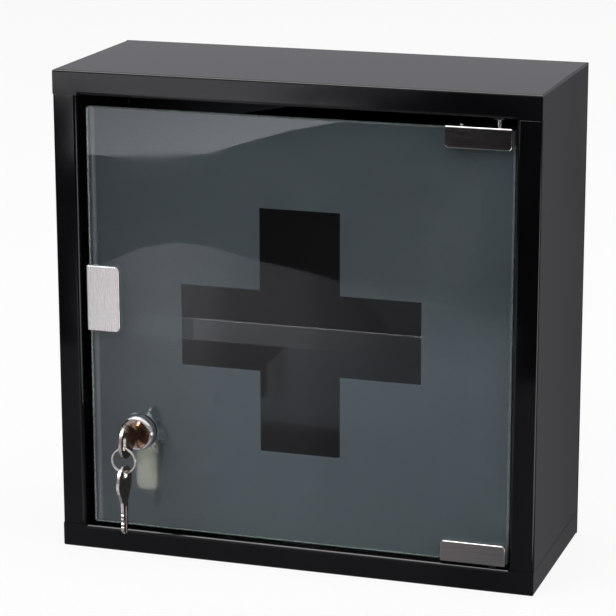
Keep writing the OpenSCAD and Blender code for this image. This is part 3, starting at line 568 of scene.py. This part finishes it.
def solids_of(node):
    """Middles of a node's separate solids, and the size of the first, in mm"""
    shape, found = skin_of(node), []
    for island in islands_of(shape):
        low = [min(point.co[i] for point in island) / MM for i in range(3)]
        high = [max(point.co[i] for point in island) / MM for i in range(3)]
        found.append((Vector([(a + b) / 2 for a, b in zip(low, high)]),
                      Vector([b - a for a, b in zip(low, high)])))
    shape.free()
    found.sort(key=lambda solid: tuple(solid[0]))
    return [middle for middle, _ in found], found[0][1]


class Growth(Tree):
    """A geometry tree that grows one kind of piece. Its sizes are named inputs, and its
    lengths are in metres"""

    def __init__(self, name, *sizes):
        super().__init__(bpy.data.node_groups.new(name, "GeometryNodeTree"))
        self.socket("Seats", "INPUT", "Geometry")
        for label in sizes:
            self.socket(label, "INPUT", "Float")
        self.socket("Turn", "INPUT", "Vector")
        self.socket("Finish", "INPUT", "Material")
        self.socket("Geometry", "OUTPUT", "Geometry")
        self.open_ends()

    def size(self, label):
        return self.given[label]

    def vector(self, x, y, z):
        return self.add("ShaderNodeCombineXYZ", {0: x, 1: y, 2: z}).outputs[0]

    def cylinder(self, sides, radius, depth):
        return self.add("GeometryNodeMeshCylinder", {
            "Vertices": sides, "Radius": radius, "Depth": depth}).outputs["Mesh"]

    def ball(self, rings):
        return self.add("GeometryNodeMeshUVSphere", {
            "Segments": 48, "Rings": rings, "Radius": 1.0}).outputs["Mesh"]

    def raised(self, geometry, height):
        return self.add("GeometryNodeTransform", {
            "Geometry": geometry,
            "Translation": self.vector(0.0, 0.0, height)}).outputs["Geometry"]

    def scaled(self, geometry, x, y, z):
        return self.add("GeometryNodeTransform", {
            "Geometry": geometry, "Scale": self.vector(x, y, z)}).outputs["Geometry"]

    def joined(self, *solids):
        return self.add("GeometryNodeJoinGeometry", {
            "Geometry": list(solids)}).outputs["Geometry"]

    def cut(self, solid, tools):
        return self.add("GeometryNodeMeshBoolean", {"Mesh 1": solid, "Mesh 2": tools},
                        operation="DIFFERENCE", solver="EXACT").outputs["Mesh"]

    def helix(self, radius, turns, height, profile_x, profile_y, sides):
        """A wire or thread wound round Z, from height 0 up"""
        path = self.add("GeometryNodeCurveSpiral", {
            "Resolution": 36, "Rotations": turns, "Start Radius": radius, "End Radius": radius,
            "Height": height})
        upright = self.add("GeometryNodeSetCurveNormal", {"Curve": path.outputs["Curve"]},
                           mode="Z_UP")
        ring = self.add("GeometryNodeCurvePrimitiveCircle", {"Resolution": sides, "Radius": 1.0})
        return self.add("GeometryNodeCurveToMesh", {
            "Curve": upright.outputs["Curve"],
            "Profile Curve": self.scaled(ring.outputs["Curve"], profile_x, profile_y, 1.0),
            "Fill Caps": True}).outputs["Mesh"]

    def thread(self, core, run):
        """A thread that is wound on a core, along a run"""
        depth = self.size("Thread Depth")
        turns = self.math("DIVIDE", run, self.size("Pitch"))
        return self.helix(core, turns, run, depth, depth, sides=4)

    def close(self, solid, spin=0.0):
        """Puts a copy on each seat, turned as Turn says and spun by chance up to an angle"""
        turn = self.size("Turn")
        if spin:
            chance = self.add("FunctionNodeRandomValue", {"Min": 0.0, "Max": spin, "Seed": 7},
                              data_type="FLOAT")
            number = next(out for out in chance.outputs if out.enabled and out.type == "VALUE")
            turn = self.add("FunctionNodeRotateRotation", {
                "Rotation": turn, "Rotate By": self.vector(0.0, 0.0, number)},
                rotation_space="LOCAL").outputs["Rotation"]
        copies = self.add("GeometryNodeInstanceOnPoints", {
            "Points": self.size("Seats"), "Instance": solid, "Rotation": turn})
        real = self.add("GeometryNodeRealizeInstances", {"Geometry": copies.outputs["Instances"]})
        coated = self.add("GeometryNodeSetMaterial", {
            "Geometry": real.outputs["Geometry"], "Material": self.size("Finish")})
        self.tree.links.new(coated.outputs["Geometry"], self.results["Geometry"])
        return self

    def grow(self, name, seats, finish, crease=32, **sizes):
        """A plain mesh piece grown on the given seats, in mm"""
        points = bpy.data.meshes.new(name + "_seats")
        points.from_pydata([seat * MM for seat in seats], [], [])
        holder = placed(name + "_seats", points)
        growing = holder.modifiers.new(name, "NODES")
        growing.node_group = self.tree
        wanted = {**spaced(sizes), "Finish": finish}
        for item in self.tree.interface.items_tree:
            if item.item_type == "SOCKET" and item.in_out == "INPUT" and item.name in wanted:
                growing[item.identifier] = wanted[item.name]
        grown = bpy.data.meshes.new_from_object(
            holder.evaluated_get(bpy.context.evaluated_depsgraph_get()))
        holder.modifiers.remove(growing)
        bpy.data.objects.remove(holder)
        grown.name = name
        grown.materials.clear()
        grown.materials.append(finish)
        grown.shade_smooth()
        grown.set_sharp_from_angle(angle=radians(crease))
        return placed(name, grown)


def make_coil_growth():
    """Springs and rings wound from wire, along Z from the seat"""
    coil = Growth("coil", "Radius", "Wire Across", "Wire Along", "Turns", "Length")
    return coil.close(coil.helix(coil.size("Radius"), coil.size("Turns"), coil.size("Length"),
                                 coil.size("Wire Across"), coil.size("Wire Along"), sides=14))


def pan_head(screw):
    """A head whose side bulges between a cylinder's and a ball's, with a cross recess"""
    position = screw.add("GeometryNodeInputPosition").outputs["Position"]
    x, y, z = (screw.part(position, axis) for axis in "XYZ")
    above = screw.math("MAXIMUM", z, 0.0)
    level = screw.math("SUBTRACT", 1.0, screw.times(above, above))
    across = screw.math("POWER", screw.math("MAXIMUM", level, 1e-6), -0.25)
    swell = screw.times(across, screw.size("Head Radius"))
    rise = screw.times(screw.math("POWER", above, 0.5), screw.size("Head Height"))
    dome = screw.add("GeometryNodeSetPosition", {
        "Geometry": screw.ball(24),
        "Position": screw.vector(screw.times(x, swell), screw.times(y, swell), rise)})
    deep = screw.times(screw.size("Recess Depth"), 2.0)
    length, width = screw.size("Recess Length"), screw.size("Recess Width")
    wings = [screw.raised(screw.add("GeometryNodeMeshCube", {
        "Size": screw.vector(a, b, deep)}).outputs["Mesh"], screw.size("Head Height"))
        for a, b in ((length, width), (width, length))]
    return screw.cut(dome.outputs["Geometry"], wings)


def make_pan_screw_growth():
    """Pan-head screws with a cross recess and a thread, head up from the seat"""
    screw = Growth("pan_screw", "Head Radius", "Head Height", "Shank Radius", "Length", "Pitch",
                   "Thread Depth", "Recess Length", "Recess Width", "Recess Depth")
    head, length, depth = pan_head(screw), screw.size("Length"), screw.size("Thread Depth")
    core = screw.math("SUBTRACT", screw.size("Shank Radius"), depth)
    down = screw.times(length, -1.0)
    shank = screw.raised(screw.cylinder(24, core, length), screw.times(down, 0.5))
    thread = screw.raised(screw.thread(core, screw.math("SUBTRACT", length, depth)),
                          screw.math("ADD", down, depth))
    return screw.close(screw.joined(head, shank, thread), spin=1.5)


def make_hex_nut_growth():
    """Hexagon nuts with chamfered corners, centred on the seat"""
    nut = Growth("hex_nut", "Across Corners", "Thickness", "Bore Radius", "Chamfer Radius",
                 "Chamfer Height")
    thick, crown = nut.size("Thickness"), nut.size("Chamfer Radius")
    hexagon = nut.cylinder(6, nut.times(nut.size("Across Corners"), 0.5), thick)
    lens = nut.scaled(nut.ball(32), crown, crown, nut.size("Chamfer Height"))
    blank = nut.add("GeometryNodeMeshBoolean", {"Mesh 2": [hexagon, lens]},
                    operation="INTERSECT", solver="EXACT")
    drill = nut.cylinder(48, nut.size("Bore Radius"), nut.times(thick, 2.0))
    return nut.close(nut.cut(blank.outputs["Mesh"], [drill]))


def make_set_screw_growth():
    """Threaded screws without a head, with a hexagon socket in the upper end"""
    screw = Growth("set_screw", "Shank Radius", "Length", "Pitch", "Thread Depth",
                   "Socket Radius", "Socket Depth")
    length, depth = screw.size("Length"), screw.size("Thread Depth")
    core = screw.math("SUBTRACT", screw.size("Shank Radius"), depth)
    socket = screw.cylinder(6, screw.size("Socket Radius"),
                            screw.times(screw.size("Socket Depth"), 2.0))
    body = screw.cut(screw.cylinder(32, core, length),
                     [screw.raised(socket, screw.times(length, 0.5))])
    run = screw.math("SUBTRACT", length, screw.times(depth, 2.2))
    thread = screw.raised(screw.thread(core, run), screw.times(run, -0.5))
    return screw.close(screw.joined(body, thread))


# The axes, and how a piece grown along Z is turned to lie along each of them
X, Y, Z = range(3)
TURN = ((0.0, pi / 2, 0.0), (-pi / 2, 0.0, 0.0), (0.0, 0.0, 0.0))

# Sizes of screws as shares of the thread's diameter
PAN_HEAD_HEIGHT = 0.6
PAN_HEAD = {"Head_Radius": 0.95, "Shank_Radius": 0.5, "Pitch": 0.175, "Thread_Depth": 0.075,
            "Recess_Length": 1.05, "Recess_Width": 0.22, "Recess_Depth": 0.3}
SET_SCREW = {"Shank_Radius": 0.5, "Pitch": 0.16, "Thread_Depth": 0.07, "Socket_Radius": 0.28,
             "Socket_Depth": 0.4}


def shares_of(thread, shares):
    return {label: share * thread * MM for label, share in shares.items()}


def step_along(axis, distance):
    return Vector([distance if i == axis else 0 for i in (X, Y, Z)])


def make_screws(finishes):
    """Shelf, latch and cam screws"""
    growth = make_pan_screw_growth()
    for node, name, axis, thread in (("shelf_screws", "shelf_screw_set", Z, 4),
                                     ("latch_screws", "latch_screw_set", X, 3),
                                     ("cam_screw", "cam_fixing", Y, 4)):
        middles, size = solids_of(node)
        head, long = PAN_HEAD_HEIGHT * thread, size[axis]
        to_seat = step_along(axis, long / 2 - head)
        piece = growth.grow(name, [middle + to_seat for middle in middles], finishes["zinc"],
                            Turn=TURN[axis], Head_Height=head * MM, Length=(long - head) * MM,
                            **shares_of(thread, PAN_HEAD))
        dressed(piece, node, "zinc_steel")


def make_nuts(finishes):
    """Nuts under the shelf and behind the latch flange, and the nut on the lock's barrel"""
    growth = make_hex_nut_growth()
    for node, name, axis, bore in (("shelf_nuts", "shelf_nut_set", Z, 2.0),
                                   ("latch_nuts", "latch_nut_set", X, 1.5),
                                   ("lock_nut", "barrel_nut", Y, 8.75)):
        middles, size = solids_of(node)
        thick, wide = size[axis], max(size)
        # The chamfer is cut by a flattened ball that is a little wider than the corners
        # and meets the end faces just inside the flats
        crown = 1.04 * wide / 2
        top = 0.97 * wide / 2 * cos(pi / 6)
        bulge = thick / 2 / (1 - (top / crown) ** 2) ** 0.5
        piece = growth.grow(name, middles, finishes["zinc"], Turn=TURN[axis],
                            Across_Corners=wide * MM, Thickness=thick * MM,
                            Bore_Radius=bore * MM, Chamfer_Radius=crown * MM,
                            Chamfer_Height=bulge * MM)
        dressed(piece, node, "zinc_steel")


def make_set_screws(finishes):
    """Socket screws that press the pads of the clamps and of the handle on the glass"""
    growth = make_set_screw_growth()
    for node, name in (("clamp_set_screws", "clamp_screw_set"),
                       ("handle_grub_screw", "pull_screw")):
        middles, size = solids_of(node)
        piece = growth.grow(name, middles, finishes["zinc"], Turn=TURN[Y], Length=size[Y] * MM,
                            **shares_of(size[X], SET_SCREW))
        dressed(piece, node, "zinc_steel")


def make_spring(finishes, growth):
    """The spring between the latch body and the plunger"""
    (middle,), size = solids_of("latch_spring")
    wire, long = 0.8, size[Y]
    seat = middle - step_along(Y, long / 2 - wire / 2)
    spring = growth.grow("plunger_spring", [seat], finishes["spring"], crease=60, Turn=TURN[Y],
                         Radius=4.7 * MM, Wire_Across=wire / 2 * MM, Wire_Along=wire / 2 * MM,
                         Turns=7.0, Length=(long - wire) * MM)
    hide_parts("latch_spring")
    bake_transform(spring)


def make_key_ring(finishes, growth):
    """Two turns of flat wire, as thick together as the solid"""
    (middle,), size = solids_of("key_ring")
    thick = min(size)
    axis = list(size).index(thick)
    ring = growth.grow("split_ring", [middle - step_along(axis, thick / 3)], finishes["ring"],
                       crease=60, Turn=TURN[axis], Radius=(max(size) - thick) / 2 * MM,
                       Wire_Across=thick / 2 * MM, Wire_Along=thick / 6.2 * MM, Turns=2.0,
                       Length=thick * 2 / 3 * MM)
    dressed(ring, "key_ring", "ring_steel")


# ---------- door glass ----------

def rounded_outline(low, high, radius, steps=5):
    """Points of a rectangle with rounded corners, anticlockwise seen from the front"""
    corners = ((high[0] - radius, low[1] + radius, -90), (high[0] - radius, high[1] - radius, 0),
               (low[0] + radius, high[1] - radius, 90), (low[0] + radius, low[1] + radius, 180))
    points = []
    for x, z, first in corners:
        for i in range(steps + 1):
            angle = radians(first + 90 * i / steps)
            points.append((x + radius * cos(angle), z + radius * sin(angle)))
    return points


def round_outline(centre, radius, steps=72):
    angles = [2 * pi * i / steps for i in range(steps)]
    return [(centre[0] + radius * cos(angle), centre[1] + radius * sin(angle)) for angle in angles]


def closed_line(shape, places):
    """Points and edges of a closed line, in metres"""
    points = [shape.verts.new(place) for place in places]
    return points, [shape.edges.new(ends) for ends in zip(points, points[1:] + points[:1])]


def glass_face(shape, corners, finish):
    shape.faces.new(corners).material_index = GLASS_FINISHES.index(finish)


def rims_and_bores(shape, low, high):
    """Rings round the glass and round the lock's hole, from the front to the back"""
    (x0, y0, z0), (x1, y1, z1) = low, high
    rims, bores = [], []
    for y, inset in ((y0, ARRIS), (y0 + 0.3 * ARRIS, 0.3 * ARRIS), (y0 + ARRIS, 0),
                     (y1 - ARRIS, 0), (y1 - 0.3 * ARRIS, 0.3 * ARRIS), (y1, ARRIS)):
        rim = rounded_outline((x0 + inset, z0 + inset), (x1 - inset, z1 - inset),
                              GLASS_CORNER - 0.5 * inset)
        bore = round_outline(LOCK_AT, LOCK_HOLE_RADIUS + 0.5 * inset)
        for rings, outline in ((rims, rim), (bores, bore)):
            rings.append(closed_line(shape, [(x * MM, y * MM, z * MM) for x, z in outline]))
    return rims, bores


def join_rings(shape, rings):
    """The polished faces from each ring to the next"""
    for (first, _), (second, _) in zip(rings, rings[1:]):
        for i in range(len(first)):
            k = (i + 1) % len(first)
            glass_face(shape, (first[i], first[k], second[k], second[i]), "edge")


def cross_faces(shape, y):
    """The five squares of the clear cross, and their corners"""
    (x, z), reach, half_arm = CROSS_AT, 75, 25
    steps = (-reach, -half_arm, half_arm, reach)
    grid = {(i, k): shape.verts.new(mm(x + dx, y, z + dz))
            for i, dx in enumerate(steps) for k, dz in enumerate(steps) if {i, k} & {1, 2}}
    for i in range(3):
        for k in range(3):
            if i == 1 or k == 1:
                glass_face(shape, (grid[i, k], grid[i + 1, k], grid[i + 1, k + 1],
                                   grid[i, k + 1]), "cross")
    return set(grid.values())


def band_faces(shape, x, y, low, high):
    """Upright bands beside the left edge, lighter than the frost as a painted highlight, and their
    corners
    """
    insets, end = (1.6, 2.6, 3.6, 4.6), 1.2
    columns = [[shape.verts.new(mm(x + inset, y, z)) for z in (low + end, high - end)]
               for inset in insets]
    for left, right, finish in zip(columns, columns[1:], ("band_side", "band", "band_side")):
        glass_face(shape, (left[0], right[0], right[1], left[1]), finish)
    return {point for column in columns for point in column}


def fill(shape, edges, finish):
    """Flat glass between closed lines"""
    new = bmesh.ops.triangle_fill(shape, use_beauty=True, use_dissolve=False, edges=edges)
    for piece in new["geom"]:
        if isinstance(piece, bmesh.types.BMFace):
            piece.material_index = GLASS_FINISHES.index(finish)


def paint_shade_on_lower_edge(shape, bottom):
    # Painted shade: the polished faces along the foot of the glass take the darker finish
    edge, lower_edge = (GLASS_FINISHES.index(name) for name in ("edge", "lower_edge"))
    for face in shape.faces:
        if face.material_index == edge and face.calc_center_median().z < (bottom + ARRIS) * MM:
            face.material_index = lower_edge


def make_door_glass(finishes):
    """Glass with polished edges, sandblasted on the back except for a clear cross"""
    low, high = ([value / MM for value in corner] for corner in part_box("door_glass"))
    (left, _, bottom), (_, back, top) = low, high
    shape = bmesh.new()
    rims, bores = rims_and_bores(shape, low, high)
    join_rings(shape, rims)
    join_rings(shape, bores)
    inner = cross_faces(shape, back) | band_faces(shape, left, back, bottom, top)
    inner_edges = [edge for edge in shape.edges
                   if len(edge.link_faces) == 1 and inner.issuperset(edge.verts)]
    fill(shape, rims[0][1] + bores[0][1], "clear")
    fill(shape, rims[-1][1] + bores[-1][1] + inner_edges, "frost")
    paint_shade_on_lower_edge(shape, bottom)
    bmesh.ops.recalc_face_normals(shape, faces=shape.faces)
    mesh = mesh_from(shape, "glass_pane", crease=20)
    for name in GLASS_FINISHES:
        mesh.materials.append(finishes[name])
    dressed(placed("glass_pane", mesh), "door_glass", "frosted_glass")


# ---------- studio ----------

def glow_material(name, stops, slant=0.0, near=1.0):
    """A glow that changes along X, or along a slanting line, through the given strengths and
    falls to a share of them near the cabinet. It is clear to whoever looks straight through
    the glass, and brighter to whoever sees it by way of the cabinet's inside"""
    tint = (0.98, 0.97, 1.04)
    glow = Finish(name, tint, 1.0)
    glow.material.cycles.emission_sampling = "NONE"
    glow.tree.nodes.remove(glow.shader)
    x0, x1 = stops[0][0], stops[-1][0]
    top = max(strength for x, strength in stops)
    across = glow.facing(glow.place, (1, -slant, 0))
    ramp = glow.add("ShaderNodeValToRGB", {"Fac": glow.ranged(across, x0, x1, 0, 1)})
    ramp.color_ramp.interpolation = "EASE"
    while len(ramp.color_ramp.elements) < len(stops):
        ramp.color_ramp.elements.new(0.5)
    for element, (x, strength) in zip(ramp.color_ramp.elements, stops):
        element.position = (x - x0) / (x1 - x0)
        element.color = (*(part * strength / top for part in tint), 1)
    path, inside_gain = glow.add("ShaderNodeLightPath").outputs, 1.6
    by_the_inside = glow.ranged(path["Transmission Depth"], 2.4, 2.6, top, inside_gain * top)
    nearness = glow.ranged(glow.part(glow.place, "Y"), -0.65, -0.3, 1, near)
    light = glow.add("ShaderNodeEmission", {
        "Color": ramp.outputs["Color"], "Strength": glow.times(by_the_inside, nearness)})
    unmirrored = glow.math("LESS_THAN", path["Glossy Depth"], 0.5)
    glow.blend(glow.times(path["Is Transmission Ray"], unmirrored),
               light.outputs["Emission"], glow.add("ShaderNodeBsdfTransparent").outputs["BSDF"])
    return glow.material


def staged(name, shape, material):
    """A thing of the studio, which isn't part of the cabinet"""
    mesh = bpy.data.meshes.new(name)
    shape.to_mesh(mesh)
    shape.free()
    mesh.materials.append(material)
    thing = placed(name, mesh)
    return thing


def hide_all_but_reflections(card):
    card.visible_camera = card.visible_diffuse = card.visible_shadow = False
    card.visible_volume_scatter = False


def studio_card(name, outline, height, stops, **changes):
    """A sheet of card on the table that is seen only as a reflection"""
    shape = bmesh.new()
    _, edges = closed_line(shape, [(x, y, height) for x, y in outline])
    bmesh.ops.triangle_fill(shape, use_beauty=True, use_dissolve=False, edges=edges)
    bmesh.ops.recalc_face_normals(shape, faces=shape.faces)
    hide_all_but_reflections(staged(name, shape, glow_material(name, stops, **changes)))


def make_shade_behind_holes():
    """A dark sheet behind the hanging holes, standing in for the shade there as painted shade,
    seen only through the glass
    """
    shape = bmesh.new()
    shape.faces.new([shape.verts.new((x, 0.064, z)) for x, z in
                     ((-0.13, 0.02), (0.13, 0.02), (0.13, 0.28), (-0.13, 0.28))])
    dark = Finish("hanging_wall", (0.02, 0.02, 0.02), 0.5)
    shade_card = staged("hanging_wall", shape, dark.material)
    shade_card.visible_glossy = False
    hide_all_but_reflections(shade_card)


def make_surround():
    """A grey wall round the table, seen only as a reflection"""
    shape = bmesh.new()
    radius, height = 3.6, 2.4
    bmesh.ops.create_cone(shape, segments=96, radius1=radius, radius2=radius, depth=height)
    bmesh.ops.translate(shape, verts=shape.verts, vec=(0, 0, height / 2))
    hide_all_but_reflections(staged("grey_wall", shape, glow_material(
        "grey_wall", ((-3.6, 0.02), (-2.7, 0.04), (-1.9, 0.375), (3.6, 0.375)))))


def make_floor():
    """A pale floor that looks almost white to the camera and in reflections"""
    shape, almost_white = bmesh.new(), 0.88
    bmesh.ops.create_circle(shape, cap_ends=True, segments=96, radius=9)
    pale = Finish("pale_floor", (0.9, 0.9, 0.9), 0.9, Specular_IOR_Level=0.0)
    pale.blend(pale.times(pale.looked_at(), almost_white), pale.shader.outputs["BSDF"],
               pale.add("ShaderNodeEmission").outputs["Emission"])
    staged("floor", shape, pale.material)


def make_cards():
    """The table, cloths and sheets whose reflections lie on the glass, the cross and the frame"""
    studio_card("grey_table", [(-4, -4), (4, -4), (4, 4), (-4, 4)], 0.0004,
                ((-0.2, 0.22), (0.08, 0.2), (0.125, 0.132), (0.172, 0.187)), slant=0.222)
    studio_card("dark_cloth", [(-3, -3.6), (3, -3.6), (3, -0.5), (-3, -0.5)], 0.0008,
                ((-1, 0.01), (1, 0.01)))
    studio_card("grey_cloth", [(-0.41, -0.70), (-0.46, -0.86), (-0.62, -1.23), (-0.30, -1.42),
                               (-0.29, -1.30), (-0.19, -1.28), (-0.06, -0.70)], 0.001,
                ((-0.6, 0.02), (-0.35, 0.10), (-0.06, 0.15)))
    mat = [(-0.152, -0.106), (-0.179, -0.170), (-0.206, -0.232), (-0.250, -0.336),
           (-0.301, -0.453), (-0.358, -0.588), (-0.413, -0.717), (-0.410, -0.767),
           (-0.402, -0.819), (-0.381, -0.855), (-0.338, -0.844), (-0.285, -0.807),
           (-0.234, -0.783), (-0.188, -0.754), (-0.154, -0.738), (-0.109, -0.720),
           (-0.068, -0.694), (-0.032, -0.672), (-0.010, -0.664), (0.006, -0.588),
           (0.039, -0.453), (0.067, -0.336), (0.092, -0.232), (0.107, -0.170), (0.122, -0.106)]
    studio_card("pale_mat", mat, 0.0012,
                ((-0.17, 0.5), (-0.135, 1.0), (-0.1, 1.1), (-0.065, 0.95), (-0.03, 0.62),
                 (0.02, 0.6), (0.05, 0.42), (0.1, 0.27), (0.18, 0.2)), slant=0.33, near=0.6)
    window = [(-0.753, -1.512), (-0.632, -1.215), (-0.582, -1.215), (-0.551, -1.225),
              (-0.522, -1.240), (-0.495, -1.260), (-0.486, -1.304), (-0.477, -1.337),
              (-0.455, -1.413), (-0.425, -1.468), (-0.385, -1.535)]
    studio_card("window_sheet", window, 0.0016, ((-0.75, 1.8), (-0.4, 2.9)))
    studio_card("side_sheet", [(0.17, -0.11), (1.3, -0.2), (1.3, -0.8), (0.2, -0.45)], 0.0016,
                ((-0.25, 0.2), (0.08, 2.6), (1.1, 2.6)), slant=-1.0)
    studio_card("far_sheet", [(-2.4, -1.545), (0.3, -1.545), (0.3, -3.4), (-2.4, -3.4)], 0.0016,
                ((-0.9, 1.65), (-0.6, 1.4), (-0.45, 0.25), (-0.33, 0.03)))


def make_lamps():
    """Three soft lamps that light the cabinet and aren't mirrored in it"""
    for name, place, aim, size, power in (
            ("key_lamp", (-1.3, -1.6, 1.9), (0, 0, 0.15), 1.6, 26),
            ("fill_lamp", (1.9, -1.1, 1.2), (0, 0, 0.15), 1.6, 12),
            ("top_lamp", (0.2, 0.3, 2.4), (0, 0, 0), 2.0, 20)):
        data = bpy.data.lights.new(name, "AREA")
        data.shape, data.size, data.energy = "SQUARE", size, power
        lamp = placed(name, data)
        lamp.location = place
        lamp.rotation_euler = (Vector(aim) - Vector(place)).to_track_quat("-Z", "Y").to_euler()
        lamp.visible_glossy = lamp.visible_camera = False


def make_white_surround():
    """White all round, dimmer as a light, with a soft lamp overhead that the bends, the
    clamps and the lock mirror"""
    world = bpy.data.worlds.new("white_surround")
    bpy.context.scene.world = world
    world.use_nodes = True
    back = world.node_tree.nodes["Background"]
    back.inputs["Color"].default_value = (1, 1, 1, 1)
    sky, lamp_strength, as_a_light = Tree(world.node_tree), 5.5, 0.45
    seen_from = sky.add("ShaderNodeNewGeometry").outputs["Incoming"]
    overhead = sky.ranged(sky.facing(seen_from, (0.30, 0.25, -0.92)), 0.945, 0.975, 0, 1)
    mirrored = sky.add("ShaderNodeLightPath").outputs["Is Glossy Ray"]
    lamp = sky.times(sky.times(overhead, mirrored), lamp_strength)
    white = sky.ranged(sky.looked_at(), 0, 1, as_a_light, 1.0)
    world.node_tree.links.new(sky.math("ADD", white, lamp), back.inputs["Strength"])
    bpy.context.scene.view_settings.view_transform = "Standard"


set_camera()
finishes = make_finishes()
make_sheet_metal(finishes)
make_door_metal(finishes)
make_small_parts(finishes)
make_lock_and_keys(finishes)
make_screws(finishes)
make_nuts(finishes)
make_set_screws(finishes)
coil_growth = make_coil_growth()
make_spring(finishes, coil_growth)
make_key_ring(finishes, coil_growth)
make_door_glass(finishes)
make_surround()
make_floor()
make_cards()
make_shade_behind_holes()
make_lamps()
make_white_surround()
